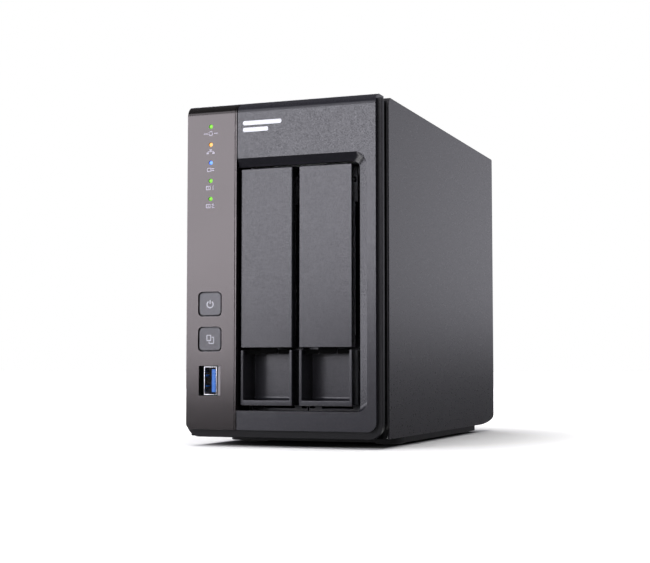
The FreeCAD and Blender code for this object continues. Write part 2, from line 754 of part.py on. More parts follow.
def drive_cage():
    """A folded steel box, open in front and behind, that holds the two trays."""
    body = new_body("cage")
    front = f"({COVER_FRONT} + frame_tongue + 0.5)"
    pad(body, "XZ", front, "cage_rear",
        rectangle(f"{BAYS_LEFT} - sheet", f"{BAYS_RIGHT} + sheet", "cage_bottom", "cage_top + sheet"))
    pocket(body, "XZ", f"{front} - 1", "cage_rear + 1",
           rectangle(BAYS_LEFT, BAYS_RIGHT, "cage_bottom + sheet", "cage_top"))
    # Air slots through both sides, and the window for the board connector on the left
    column = [rectangle("-75", "-61", 34 + row * 17, 40 + row * 17) for row in range(6)]
    slots = pocket(body, "YZ", f"{BAYS_LEFT} - sheet - 1", f"{BAYS_RIGHT} + sheet + 1", *column)
    repeat(body, slots, "110", 6)
    pocket(body, "YZ", f"{BAYS_LEFT} - sheet - 1", f"{BAYS_LEFT} + 1",
           rectangle("59", "cage_rear + 1", "60", "112"))
    # Feet that carry the cage on the pan
    for low, high in (("-80", "-70"), ("50", "60")):
        pad(body, "YZ", f"{BAYS_LEFT} - sheet", f"{BAYS_RIGHT} + sheet",
            rectangle(low, high, "skirt + sheet", "cage_bottom + 0.5"))
    pocket(body, "XZ", "-81", "61",
           rectangle(BAYS_LEFT, BAYS_RIGHT, "skirt + 2 * sheet", "cage_bottom"))
    pocket(body, "XY", "skirt", "skirt + 3 * sheet", *[circle(x, y, "1.6") for x, y in CAGE_SCREWS])
    keep(body, "drive_cage")
    keep(group([screw("Z", "skirt + 2 * sheet", -1, place, 3, 1.4, 1.5, 1.9) for place in CAGE_SCREWS]),
         "cage_screws")


def tray_guides():
    """Plastic runners on the floor and the roof of the cage, one pair for each tray."""
    y = (f"{COVER_FRONT} + frame_tongue + 3.5", 58)
    pieces = []
    for centre in BAYS.values():
        for wall, inward, rail in (("cage_bottom + sheet", 1, "rail_bottom"), ("cage_top", -1, "rail_top")):
            heights = {"sole": f"{wall} + {inward} * 1.5", "runner": f"{rail} - {inward} * 0.1",
                       "lip": f"{rail} + {inward} * 1.5"}
            spans = [(-15.1, 15.1, "sole"), (-12, -8, "runner"), (8, 12, "runner"),
                     (-15.1, -14.5, "lip"), (14.5, 15.1, "lip")]
            pieces.append(fuse(*[block((f"{centre} + {low}", f"{centre} + {high}"), y,
                                       sorted((wall, heights[kind]), key=value))
                                 for low, high, kind in spans]))
    keep(group(pieces), "tray_guides")


def tray(side):
    """The carrier of a drive: a cup to pull it by, a front wall, two rails and a side plate."""
    centre = BAYS[side]
    half = "tray_wide / 2"
    front_wall = f"{CUP_BACK} + 2"
    name = "tray_" + side
    body = new_body(name)
    pad(body, "XZ", TRAY_FACE, front_wall,
        rectangle(f"{centre} - {half}", f"{centre} + {half}", "cup_bottom", "cup_top"))
    pocket(body, "XZ", f"{TRAY_FACE} - 1", CUP_BACK,
           rectangle(f"{centre} - {half} + cup_wall", f"{centre} + {half} - cup_wall",
                     "cup_bottom + cup_floor", "cup_top - 1.6"))
    fillet(body, "1.5", ("X", {"Y": CUP_BACK, "Z": "cup_bottom + cup_floor"}))
    # The cup's roof stands back, so that fingers reach behind the lever
    pocket(body, "XZ", f"{TRAY_FACE} - 1", f"{TRAY_FACE} + 4.6",
           rectangle(f"{centre} - {half} + cup_wall", f"{centre} + {half} - cup_wall",
                     "cup_top - 3", "cup_top + 1"))
    # The notch in the cup's roof takes the lever's tongue
    pocket(body, "XZ", f"{TRAY_FACE} - 1", CUP_BACK,
           rectangle(f"{centre} - 5", f"{centre} + 5", "cup_top - 3", "cup_top + 1"))
    pad(body, "XZ", f"{CUP_BACK} + 0.5", front_wall,
        rectangle(f"{centre} - {half}", f"{centre} + {half}", "cup_top - 1", "rail_top"))
    # Rails and side plate
    drive_front = "(drive_front - 0.3)"
    drive_back = "(drive_front + drive_long - 6)"
    for low, high in (("rail_bottom", "rail_bottom + rail_high"), ("rail_top - rail_high", "rail_top")):
        pad(body, "YZ", f"{centre} - 14.3", f"{centre} + 14.3",
            rectangle(f"{front_wall} - 1", drive_back, low, high))
    pad(body, "YZ", f"{centre} - 14.3", f"{centre} - 13.1",
        rectangle(f"{front_wall} - 1", drive_back, "rail_bottom + 1", "rail_top - 1"))
    windows = [rectangle(f"-78 + {column} * 32", f"-54 + {column} * 32", "34", "120")
               for column in range(4)]
    pocket(body, "YZ", f"{centre} - 15", f"{centre} - 12", *windows)
    pocket(body, "XZ", f"{CUP_BACK}", drive_front,
           *[rectangle(f"{centre} + {x} - 3", f"{centre} + {x} + 3", "54", "118") for x in (-7, 7)])
    # Round-nosed cheeks that carry the hinge pin
    for low, high in ((-11.7, -9.5), (9.5, 11.7)):
        pad(body, "YZ", f"{centre} + {low}", f"{centre} + {high}", [
            ("hinge_y", "hinge_z - 2.7"), (f"{CUP_BACK} + 1", "hinge_z - 2.7"),
            (f"{CUP_BACK} + 1", "hinge_z + 2.7"), ("hinge_y", "hinge_z + 2.7", "2.7"),
            ("hinge_y - 2.7", "hinge_z", "2.7")])
    pocket(body, "YZ", f"{centre} - 13", f"{centre} + 13", circle("hinge_y", "hinge_z", "pin_radius"))
    keep(cut(body, *drive_screw_holes(centre)), name)
    keep(rod("X", f"{centre} - {half} + 0.2", f"{centre} + {half} - 0.2", ("hinge_y", "hinge_z"),
             "pin_radius"), "lever_pin_" + side)
    keep(group([screw("Z", f"{seat} + {direction} * 1.4", direction, (centre, y), 2.9, 1.3, 1.5, 7)
                for y in DRIVE_SCREWS for seat, direction in DRIVE_SEATS]), "drive_screws_" + side)


def drive_screw_holes(centre):
    """Holes for the drive's screws, with room for their heads in the rails."""
    holes = []
    for y in DRIVE_SCREWS:
        for seat, direction in DRIVE_SEATS:
            head = sorted((f"{seat} - {direction}", f"{seat} + {direction} * 1.4"), key=value)
            shank = sorted((seat, f"{seat} + {direction} * 9"), key=value)
            holes.append(fuse(rod("Z", *head, (centre, y), 3.1), rod("Z", *shank, (centre, y), 1.55)))
    return holes


def lever_spring(side):
    """The coil of the spring on the hinge pin."""
    centre = FreeCAD.Vector(value(BAYS[side]), value("hinge_y"), value("hinge_z"))
    coil_radius = 2.2
    wire_radius = 0.3
    turns = 5
    long = 7
    helix = Part.makeHelix(long / turns, long, coil_radius)
    profile = Part.Wire(Part.makeCircle(wire_radius, FreeCAD.Vector(coil_radius, 0, 0),
                                        FreeCAD.Vector(0, 1, 0)))
    coil = Part.Wire(helix.Edges).makePipeShell([profile], True, True)
    feature = document.addObject("Part::Feature", "spring")
    feature.Shape = coil
    turn = FreeCAD.Rotation(FreeCAD.Vector(0, 1, 0), 90)
    feature.Placement = FreeCAD.Placement(centre - FreeCAD.Vector(long / 2, 0, 0), turn)
    keep(feature, "lever_spring_" + side)


def lever(side):
    """The handle in front of a tray, hinged near its top; it hides the tray's front wall."""
    centre = BAYS[side]
    half = "tray_wide / 2"
    back = f"({TRAY_FACE} + 9)"
    name = "lever_" + side
    body = new_body(name)
    pad(body, "XZ", TRAY_FACE, back,
        rectangle(f"{centre} - {half}", f"{centre} + {half}", "lever_bottom", "lever_top"))
    fillet(body, "0.4", ("Z", {"X": f"{centre} - {half}", "Y": TRAY_FACE}),
           ("Z", {"X": f"{centre} + {half}", "Y": TRAY_FACE}))
    pocket(body, "XZ", f"{TRAY_FACE} + lever_wall", f"{back} + 1",
           rectangle(f"{centre} - {half} + lever_skirt", f"{centre} + {half} - lever_skirt",
                     "lever_bottom + 1.5", "lever_top + 1"))
    # The skirts are deep only round the hinge
    pocket(body, "XZ", f"{TRAY_FACE} + 5", f"{back} + 1",
           rectangle(f"{centre} - {half} - 1", f"{centre} + {half} + 1", "lever_bottom - 1", "118"))
    pocket(body, "YZ", f"{centre} - {half} - 1", f"{centre} + {half} + 1",
           circle("hinge_y", "hinge_z", "pin_radius + running_gap"))
    for height in (62, 78, 94, 110):
        pad(body, "XZ", f"{TRAY_FACE} + 1", f"{TRAY_FACE} + 4.6",
            rectangle(f"{centre} - {half} + 1", f"{centre} + {half} - 1", f"{height} - 0.6",
                      f"{height} + 0.6"))
    # Tongue that springs into the notch of the cup
    pad(body, "XZ", f"{TRAY_FACE} + 3", f"{TRAY_FACE} + 4.4",
        rectangle(f"{centre} - 4.4", f"{centre} + 4.4", "cup_top - 1.5", "lever_bottom + 2"))
    keep(body, name)


def drive(side):
    """A sealed 3.5 inch drive: casting, lid, and the board with its plug."""
    centre = BAYS[side]
    lid_x = f"({centre} - drive_thick / 2 + 0.15)"
    board_x = f"({lid_x} + drive_thick)"
    back = "(drive_front + drive_long)"
    top = "(drive_bottom + drive_wide)"
    body = new_body("casting_" + side)
    pad(body, "YZ", f"{lid_x} + 1.2", f"{board_x} - 1", rectangle("drive_front", back, "drive_bottom", top))
    fillet(body, "3", *[("X", {"Y": y, "Z": z}) for y in ("drive_front", back)
                        for z in ("drive_bottom", top)])
    pocket(body, "YZ", f"{board_x} - 4", board_x,
           rectangle("drive_front + 45", "drive_front + drive_long - 20", "drive_bottom + 8",
                     "drive_bottom + drive_wide - 8"))
    pocket(body, "XZ", f"{back} - 7", f"{back} + 1",
           rectangle(f"{board_x} - 8", f"{board_x} + 1", "78", "124"))
    keep(cut(body, *drive_screw_holes(centre)), "drive_casting_" + side)
    lid = new_body("lid_" + side)
    pad(lid, "YZ", lid_x, f"{lid_x} + 1.2",
        rectangle("drive_front + 2", f"{back} - 2", "drive_bottom + 2", f"{top} - 2"))
    fillet(lid, "8", *[("X", {"Y": y, "Z": z}) for y in ("drive_front + 2", f"{back} - 2")
                       for z in ("drive_bottom + 2", f"{top} - 2")])
    keep(lid, "drive_lid_" + side)
    board = block((f"{board_x} - 3.9", f"{board_x} - 2.7"),
                  ("drive_front + 46", "drive_front + drive_long - 21"),
                  ("drive_bottom + 9", "drive_bottom + drive_wide - 9"))
    chips = [block((f"{board_x} - 2.7", f"{board_x} - 1.5"), (y, y + size), (z, z + size))
             for y, z, size in ((-30, 50, 14), (-8, 74, 10), (12, 48, 8), (14, 88, 12))]
    shell = cut(block((f"{board_x} - 7.8", f"{board_x} - 1.2"), (f"{back} - 6.8", back), (78.5, 123.5)),
                block((f"{board_x} - 6.8", f"{board_x} - 2.2"), (f"{back} - 5", f"{back} + 1"),
                      (79.5, 122.5)))
    tongues = [block((f"{board_x} - 5.1", f"{board_x} - 3.9"), (f"{back} - 6", f"{back} - 0.5"), span)
               for span in ((81, 103), (106, 118))]
    keep(group([board] + chips + [fuse(shell, *tongues)]), "drive_board_" + side)


def backplane():
    board = block((f"{BAYS_LEFT} + 0.6", f"{BAYS_RIGHT} - 0.6"),
                  ("backplane_y", "backplane_y + board_thick"), (22, 132))
    holes = [block((f"{centre} - 9", f"{centre} + 5"), (60, 75), span)
             for centre in BAYS.values() for span in ((28, 46), (50, 72), (78, 98), (102, 126))]
    keep(cut(board, *holes), "backplane")
    sockets = []
    for centre in BAYS.values():
        board_x = f"({centre} + drive_thick / 2 + 0.15)"
        front = "(drive_front + drive_long - 2.6)"
        core = block((f"{board_x} - 6.3", f"{board_x} - 2.7"), (front, "backplane_y"), (80, 122))
        slots = [block((f"{board_x} - 5.3", f"{board_x} - 3.7"), (f"{front} - 1", f"{front} + 3"), span)
                 for span in ((80.7, 103.3), (105.7, 118.3))]
        sockets.append(cut(core, *slots))
    keep(group(sockets), "drive_sockets")
    keep(block((f"{BOARD_BACK}", f"{BAYS_LEFT} + 0.6"), ("backplane_y - 3", "backplane_y + 4.6"),
               (64, 108)), "riser_socket")


# ---------------------------------------------------------------- electronics

def main_board():
    board = block(("main_board_x", BOARD_BACK), (-74, f"{PANEL_FRONT} - 1"), (13, 158))
    holes = [rod("X", -32, -26, place, 1.6) for place in STANDOFFS]
    keep(cut(board, *holes), "main_board")
    bars = [cut(rod("X", BOARD_BACK, f"{BAYS_LEFT} - sheet", place, 2.6),
                rod("X", "main_board_x - 1", f"{BAYS_LEFT}", place, 1.25)) for place in STANDOFFS]
    keep(group(bars), "board_standoffs")
    keep(group([screw("X", "main_board_x", 1, place, 2.6, 1.8, 1.2, 3) for place in STANDOFFS]),
         "board_screws")


def heat_sink():
    """A block of fins on the processor."""
    body = new_body("heat_sink")
    pad(body, "YZ", "main_board_x - 16", "main_board_x - 2.4", rectangle("-20", "26", "76", "122"))
    gaps = [rectangle(f"-18.4 + {number} * 3.7", f"-16.2 + {number} * 3.7", "75", "123")
            for number in range(12)]
    pocket(body, "YZ", "main_board_x - 17", "main_board_x - 5.5", *gaps)
    keep(body, "heat_sink")


def board_parts():
    chips = [block((f"main_board_x - {high}", "main_board_x"), (y, y + long), (z, z + tall))
             for y, z, long, tall, high in ((-9, 87, 24, 24, 2.4), (-62, 92, 12, 12, 1.3),
                                            (50, 112, 11, 11, 1.3), (50, 62, 9, 9, 1.3),
                                            (-64, 60, 14, 10, 1.5), (-45, 130, 10, 8, 1.5))]
    cans = [rod("X", "main_board_x - 8", "main_board_x", place, 3.1)
            for place in ((60, 30), (60, 38), (51, 30), (51, 38), (-28, 140), (-18, 140))]
    keep(group(chips + cans), "board_chips")
    keep(block(("main_board_x - 3.6", "main_board_x - 2.4"), (-43, 21), (32, 62)), "memory_module")
    keep(rod("X", "main_board_x - 3.2", "main_board_x", (80, 24), 10), "coin_cell")


def board_sockets():
    """The memory socket and the plugs of the two cables."""
    slot = block(("main_board_x - 3.7", "main_board_x - 2.3"), (-43.2, 21.2), (31.8, 62.2))
    memory = cut(fuse(block(("main_board_x - 5", "main_board_x"), (-46, 24), (28, 34)),
                      block(("main_board_x - 5", "main_board_x"), (-46, -42), (33, 60)),
                      block(("main_board_x - 5", "main_board_x"), (20, 24), (33, 60))), slot)
    front_plug = block(("controls_x - 1", "controls_x + 5"),
                       (f"{FRONT_BOARD_Y} + board_thick", f"{FRONT_BOARD_Y} + board_thick + 2.5"),
                       (98, 114))
    main_plug = block(("main_board_x - 5", "main_board_x"), (-71, -66), (98, 114))
    fan_plug = block((BOARD_BACK, f"{BOARD_BACK} + 4"), (75, 79), (34, 43))
    keep(group([memory, front_plug, main_plug, fan_plug]), "board_sockets")


def rear_ports():
    back = f"panel_back + {PORT_OUT}"

    def housing(name, long):
        middle, high, rise = PORT_SIZES[name]
        x = (f"main_board_x - {rise}", "main_board_x")
        y = (f"{back} - {long}", back)
        z = (f"{middle} - {high} / 2", f"{middle} + {high} / 2")
        return x, y, z

    def mouth(name, deep, inset, low_x=0.0, high_x=1.0):
        middle, high, rise = PORT_SIZES[name]
        return block((f"main_board_x - {rise} * {high_x} + {inset}",
                      f"main_board_x - {rise} * {low_x} - {inset}"),
                     (f"{back} - {deep}", f"{back} + 1"),
                     (f"{middle} - {high} / 2 + {inset}", f"{middle} + {high} / 2 - {inset}"))

    stack = cut(block(*housing("usb_stack", 17)), mouth("usb_stack", 12, 0.5, 0, 0.5),
                mouth("usb_stack", 12, 0.5, 0.5, 1))
    single = cut(block(*housing("usb_single", 17)), mouth("usb_single", 12, 0.5))
    keep(group([stack, single]), "usb_ports")
    tongues = []
    for name, places in (("usb_stack", (3.0, 10.8)), ("usb_single", (2.6,))):
        for place in places:
            z = PORT_SIZES[name][0]
            tongues.append(block((f"main_board_x - {place} - 1.9", f"main_board_x - {place}"),
                                 (f"{back} - 12", f"{back} - 2"), (z - 5.5, z + 5.5)))
    keep(group(tongues), "usb_tongues")
    video = cut(block(*housing("video", 12)), mouth("video", 9, 0.5))
    keep(fuse(video, block(("main_board_x - 3.8", "main_board_x - 2.3"), (f"{back} - 9.5", f"{back} - 1.5"),
                           (119.5, 130.5))), "video_port")
    lans = []
    for name in ("lan_upper", "lan_lower"):
        middle = PORT_SIZES[name][0]
        opening = block(("main_board_x - 10.5", "main_board_x - 2.6"), (f"{back} - 14", f"{back} + 1"),
                        (middle - 6, middle + 6))
        key = block(("main_board_x - 12.3", "main_board_x - 10.4"), (f"{back} - 14", f"{back} + 1"),
                    (middle - 3, middle + 3))
        lans.append(cut(block(*housing(name, 21)), fuse(opening, key)))
    keep(group(lans), "lan_ports")
    middle, high, rise = PORT_SIZES["jack"]
    axis = (f"main_board_x - {rise} / 2", middle)
    jack = cut(block(*housing("jack", 14)), rod("Y", f"{back} - 11", f"{back} + 1", axis, 3.6))
    keep(fuse(jack, rod("Y", f"{back} - 11.5", f"{back} - 1.5", axis, 1.2)), "power_jack")


# ---------------------------------------------------------------- fan

def fan():
    frame = new_body("fan_frame")
    half = "fan_size / 2"
    rear = f"({FAN_FRONT} + fan_deep)"
    pad(frame, "XZ", FAN_FRONT, rear, centred("bays_x", "fan_z", "fan_size", "fan_size"))
    fillet(frame, "4", *[("Y", {"X": f"bays_x + {x} * {half}", "Z": f"fan_z + {z} * {half}"})
                         for x in (-1, 1) for z in (-1, 1)])
    pocket(frame, "XZ", f"{FAN_FRONT} - 1", f"{rear} + 1", circle("bays_x", "fan_z", "fan_bore"))
    pocket(frame, "XZ", f"{FAN_FRONT} + 4", f"{rear} - 4",
           centred("bays_x", "fan_z", "fan_size + 4", "fan_size + 4"),
           circle("bays_x", "fan_z", "fan_bore + 1.3"))
    # Hub plate on four spokes
    pad(frame, "XZ", f"{rear} - 3", rear, circle("bays_x", "fan_z", "13"))
    pad(frame, "XZ", f"{rear} - 3", rear, centred("bays_x", "fan_z", "2 * fan_bore + 1", "3.2"))
    pad(frame, "XZ", f"{rear} - 3", rear, centred("bays_x", "fan_z", "3.2", "2 * fan_bore + 1"))
    pocket(frame, "XZ", f"{FAN_FRONT} - 1", f"{rear} + 1", *fan_holes("2.1"))
    pad(frame, "XZ", f"{FAN_FRONT} + 7", f"{rear} - 2.5", circle("bays_x", "fan_z", 4))
    pocket(frame, "XZ", f"{FAN_FRONT} + 6", f"{rear} - 2.9", circle("bays_x", "fan_z", 3))
    keep(frame, "fan_frame")
    bearing = cut(rod("Y", f"{FAN_FRONT} + 7.5", f"{rear} - 4", ("bays_x", "fan_z"), 3),
                  rod("Y", FAN_FRONT, rear, ("bays_x", "fan_z"), "shaft_radius + 0.03"))
    keep(bearing, "fan_bearing")
    keep(cut(rod("Y", f"{FAN_FRONT} + 9", f"{FAN_FRONT} + 18", ("bays_x", "fan_z"), 9.5),
             rod("Y", FAN_FRONT, rear, ("bays_x", "fan_z"), 4.05)), "fan_stator")


def fan_rotor():
    """A cup that turns round the stator, with twisted blades and a shaft."""
    centre = FreeCAD.Vector(value("bays_x"), value(FAN_FRONT), value("fan_z"))
    along = FreeCAD.Vector(0, 1, 0)
    hub = Part.makeCylinder(13, 18.5, centre + along * 2, along)
    hub = hub.cut(Part.makeCylinder(11.5, 18.5, centre + along * 4, along))
    shaft = Part.makeCylinder(value("shaft_radius"), 17, centre + along * 3, along)
    blade = Part.makeLoft([blade_section(centre, radius, slope, chord)
                           for radius, slope, chord in ((12.6, 52, 13), (22, 40, 17), (31.2, 30, 20))],
                          True, True)
    solid = hub.fuse(shaft)
    for number in range(BLADES):
        turned = blade.copy()
        turned.rotate(centre, along, number * 360 / BLADES)
        solid = solid.fuse(turned)
    feature = document.addObject("Part::Feature", "rotor")
    feature.Shape = solid.removeSplitter()
    keep(feature, "fan_rotor")


def blade_section(centre, radius, slope, chord):
    """A thin section across a blade at a radius, standing at a slope to the fan's face."""
    thick = 1.2
    tilt = math.radians(slope)
    along = FreeCAD.Vector(math.cos(tilt), math.sin(tilt), 0)
    across = FreeCAD.Vector(-math.sin(tilt), math.cos(tilt), 0)
    middle = centre + FreeCAD.Vector(0, 11, radius)
    corners = [middle + along * chord / 2 * a + across * thick / 2 * b
               for a, b in ((-1, -1), (1, -1), (1, 1), (-1, 1))]
    return Part.makePolygon(corners + corners[:1])


# ---------------------------------------------------------------- cables and screws

def bent_path(points, bend):
    """Straight runs between the points, joined by arcs at the corners."""
    edges = []
    start = points[0]
    for before, corner, after in zip(points, points[1:], points[2:]):
        arrive = (corner - before).normalize()
        leave = (after - corner).normalize()
        half = arrive.getAngle(leave) / 2
        first = corner - arrive * bend * math.tan(half)
        last = corner + leave * bend * math.tan(half)
        middle = corner + (leave - arrive).normalize() * bend * (1 / math.cos(half) - 1)
        edges.append(Part.makeLine(start, first))
        edges.append(Part.Arc(first, middle, last).toShape())
        start = last
    edges.append(Part.makeLine(start, points[-1]))
    return Part.Wire(edges)


def wire(points, radius, bend):
    """A round wire through the points."""
    places = [FreeCAD.Vector(*[value(text) for text in point]) for point in points]
    path = document.addObject("Part::Feature", "wire_path")
    path.Shape = bent_path(places, bend)
    section = document.addObject("Part::Circle", "wire_section")
    section.Radius = radius
    section.Placement = FreeCAD.Placement(
        places[0], FreeCAD.Rotation(FreeCAD.Vector(0, 0, 1), places[1] - places[0]))
    sweep = document.addObject("Part::Sweep", "wire")
    sweep.Sections = [section]
    sweep.Spine = (path, [f"Edge{number}" for number in range(1, len(path.Shape.Edges) + 1)])
    sweep.Solid = True
    sweep.Transition = "Right corner"
    return sweep


def cables():
    wires = []
    for number in range(3):
        shift = 1.3 * number
        wires.append(wire([
            ("bays_x - 22", f"{FAN_FRONT} + 12", 53.2 - shift), ("bays_x - 22", f"{FAN_FRONT} + 12", 46 - shift),
            ("-21", "79", 40 - shift), (f"{BOARD_BACK} + 4", "79", 40 - shift)], 0.6, 3))
    keep(group(wires), "fan_cable")
    # A flat cable with two folds, from the front board to the main board
    start, end = "(controls_x + 2)", "(main_board_x - 3)"
    back, front = "-71", f"{FRONT_BOARD_Y} + board_thick + 2.5"
    body = new_body("front_cable")
    pad(body, "XY", "100", "112", [
        (f"{start} - 0.2", front), (f"{start} + 0.2", front), (f"{start} + 0.2", "-86"),
        (f"{end} + 0.2", "-77"), (f"{end} + 0.2", back), (f"{end} - 0.2", back),
        (f"{end} - 0.2", "-77"), (f"{start} - 0.2", "-86")])
    fillet(body, "2", *[("Z", {"X": f"{place} + {side}", "Y": bend})
                        for place, bend in ((start, "-86"), (end, "-77")) for side in (-0.2, 0.2)])
    keep(body, "front_cable")


def fasteners():
    corners = [(f"bays_x + {x} * fan_pitch / 2", f"fan_z + {z} * fan_pitch / 2")
               for x in (-1, 1) for z in (-1, 1)]
    keep(group([screw("Y", "panel_back", -1, place, 3.6, 0.9, 2, 7) for place in corners]),
         "fan_screws")
    keep(group([screw("Y", "panel_back", -1, place, 3, 1.2, 1.5, 6) for place in COVER_SCREWS]),
         "cover_screws")


def check_and_write():
    document.recompute()
    failed = [item.Label for item in document.Objects
              if "Invalid" in item.State or "Error" in item.State]
    if failed:
        raise RuntimeError("failed objects: " + ", ".join(failed))
    for item in sub_parts:
        if item.Shape.isNull() or not item.Shape.isValid() or not item.Shape.Solids:
            raise RuntimeError("bad shape: " + item.Label)
    os.makedirs("parts", exist_ok=True)
    for item in sub_parts:
        item.Shape.exportStep(f"parts/{item.Label}.step")


outer_cover()
base_pan()
base_plinth()
rubber_feet()
rear_panel()
front_frame()
front_plate()
indicator_strip()
front_button("power_button", "power_z")
front_button("copy_button", "copy_z")
light_guides()
front_board()
tact_switches()
front_usb()
drive_cage()
tray_guides()
for side in BAYS:
    tray(side)
    lever_spring(side)
    lever(side)
    drive(side)
backplane()
main_board()
heat_sink()
board_parts()
board_sockets()
rear_ports()
fan()
fan_rotor()
cables()
fasteners()
check_and_write()
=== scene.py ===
import math

import bmesh
import bpy
from mathutils import Matrix, Vector


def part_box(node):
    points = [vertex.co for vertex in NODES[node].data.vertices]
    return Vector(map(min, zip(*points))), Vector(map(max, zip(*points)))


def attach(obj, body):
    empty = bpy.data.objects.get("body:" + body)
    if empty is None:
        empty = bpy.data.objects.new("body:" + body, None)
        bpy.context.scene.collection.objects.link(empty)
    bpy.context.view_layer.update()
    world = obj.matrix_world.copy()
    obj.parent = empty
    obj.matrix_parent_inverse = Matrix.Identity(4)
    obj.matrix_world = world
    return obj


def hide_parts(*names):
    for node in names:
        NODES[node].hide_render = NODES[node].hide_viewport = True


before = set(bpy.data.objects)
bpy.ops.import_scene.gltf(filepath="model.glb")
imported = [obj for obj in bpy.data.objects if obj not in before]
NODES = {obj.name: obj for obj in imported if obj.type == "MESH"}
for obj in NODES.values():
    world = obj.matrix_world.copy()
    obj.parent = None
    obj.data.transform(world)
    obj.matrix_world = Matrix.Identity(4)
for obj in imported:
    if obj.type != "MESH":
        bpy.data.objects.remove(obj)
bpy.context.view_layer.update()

MM = 0.001


# ---------------------------------------------------------------- materials

class Finish:
    """A node material under construction; patterns are placed in metres on the object itself."""

    def __init__(self, name, colour, roughness, metallic=0.0):
        self.material = bpy.data.materials.new(name)
        self.material.use_nodes = True
        self.nodes = self.material.node_tree.nodes
        self.links = self.material.node_tree.links
        self.surface = self.nodes["Principled BSDF"]
        self.place = self.nodes.new("ShaderNodeTexCoord").outputs["Object"]
        self.colour = self.constant(colour)
        self.roughness = self.value(roughness)
        self.set("Metallic", metallic)
        self.height = None

    def constant(self, colour):
        node = self.nodes.new("ShaderNodeRGB")
        node.outputs[0].default_value = (*colour[:3], 1)
        return node.outputs[0]

    def value(self, number):
        node = self.nodes.new("ShaderNodeValue")
        node.outputs[0].default_value = number
        return node.outputs[0]

    def set(self, name, number):
        self.surface.inputs[name].default_value = number

    def math(self, kind, first, second):
        node = self.nodes.new("ShaderNodeMath")
        node.operation = kind
        for socket, item in zip(node.inputs, (first, second)):
            if isinstance(item, (int, float)):
                socket.default_value = item
            else:
                self.links.new(item, socket)
        return node.outputs[0]

    def stretch(self, factors):
        """The place, scaled along each axis, for patterns with a direction."""
        node = self.nodes.new("ShaderNodeMapping")
        node.inputs["Scale"].default_value = factors
        self.links.new(self.place, node.inputs["Vector"])
        return node.outputs[0]

    def noise(self, size, detail=2.0, stretch=None):
        """Noise with features of about this size in metres, centred on 0.5."""
        node = self.nodes.new("ShaderNodeTexNoise")
        node.inputs["Scale"].default_value = 1 / size
        node.inputs["Detail"].default_value = detail
        self.links.new(self.stretch(stretch) if stretch else self.place, node.inputs["Vector"])
        return node.outputs["Fac"]

    def cells(self, size):
        node = self.nodes.new("ShaderNodeTexVoronoi")
        node.inputs["Scale"].default_value = 1 / size
        self.links.new(self.place, node.inputs["Vector"])
        return node.outputs["Distance"]

    def ramp(self, mask, low, high):
        """The mask, spread so that low becomes 0 and high becomes 1."""
        node = self.nodes.new("ShaderNodeMapRange")
        node.inputs["From Min"].default_value = low
        node.inputs["From Max"].default_value = high
        self.links.new(mask, node.inputs["Value"])
        return node.outputs["Result"]

    def blend(self, mask, colour):
        """Lay another colour over this one where the mask is 1."""
        node = self.nodes.new("ShaderNodeMix")
        node.data_type = "RGBA"
        self.links.new(mask, node.inputs["Factor"])
        self.links.new(self.colour, node.inputs["A"])
        self.links.new(self.constant(colour), node.inputs["B"])
        self.colour = node.outputs["Result"]

    def axes(self, vector):
        """The three parts of a vector, as outputs called X, Y and Z."""
        node = self.nodes.new("ShaderNodeSeparateXYZ")
        self.links.new(vector, node.inputs[0])
        return node.outputs

    def vary(self, mask, amount):
        """Make the colour lighter and darker with the mask."""
        node = self.nodes.new("ShaderNodeHueSaturation")
        self.links.new(self.math("ADD", self.math("MULTIPLY", mask, 2 * amount), 1 - amount),
                       node.inputs["Value"])
        self.links.new(self.colour, node.inputs["Color"])
        self.colour = node.outputs["Color"]

    def roughen(self, mask, amount):
        """Move the roughness up and down with the mask."""
        shift = self.math("MULTIPLY", self.math("SUBTRACT", mask, 0.5), 2 * amount)
        self.roughness = self.math("ADD", self.roughness, shift)

    def emboss(self, mask, depth):
        """Add relief of this depth in metres."""
        relief = self.math("MULTIPLY", mask, depth)
        self.height = relief if self.height is None else self.math("ADD", self.height, relief)

    def worn_and_highlit_edges(self, colour, radius=0.4 * MM, strength=0.5):
        """Make the finish lighter where the surface turns a corner, in patches: partly rubbed wear,
        partly a painted highlight on the edges.
        """
        bevel = self.nodes.new("ShaderNodeBevel")
        bevel.samples = 4
        bevel.inputs["Radius"].default_value = radius
        normal = self.nodes.new("ShaderNodeNewGeometry").outputs["Normal"]
        dot = self.nodes.new("ShaderNodeVectorMath")
        dot.operation = "DOT_PRODUCT"
        self.links.new(bevel.outputs["Normal"], dot.inputs[0])
        self.links.new(normal, dot.inputs[1])
        edge = self.ramp(self.math("SUBTRACT", 1.0, dot.outputs["Value"]), 0.02, 0.25)
        patchy = self.math("MULTIPLY", edge, self.ramp(self.noise(2.5 * MM, 3), 0.25, 0.6))
        # lighter edges: partly rubbed wear, partly painted highlight
        self.blend(self.math("MULTIPLY", patchy, strength), colour)

    def gleam(self, mask, level, amount):
        """Make the sheen stronger and weaker with the mask."""
        shift = self.math("MULTIPLY", self.math("SUBTRACT", mask, 0.5), 2 * amount)
        self.links.new(self.math("ADD", shift, level), self.surface.inputs["Specular IOR Level"])

    def done(self):
        self.links.new(self.colour, self.surface.inputs["Base Color"])
        self.links.new(self.roughness, self.surface.inputs["Roughness"])
        if self.height is not None:
            bump = self.nodes.new("ShaderNodeBump")
            bump.inputs["Distance"].default_value = 1
            self.links.new(self.height, bump.inputs["Height"])
            self.links.new(bump.outputs["Normal"], self.surface.inputs["Normal"])
        return self.material


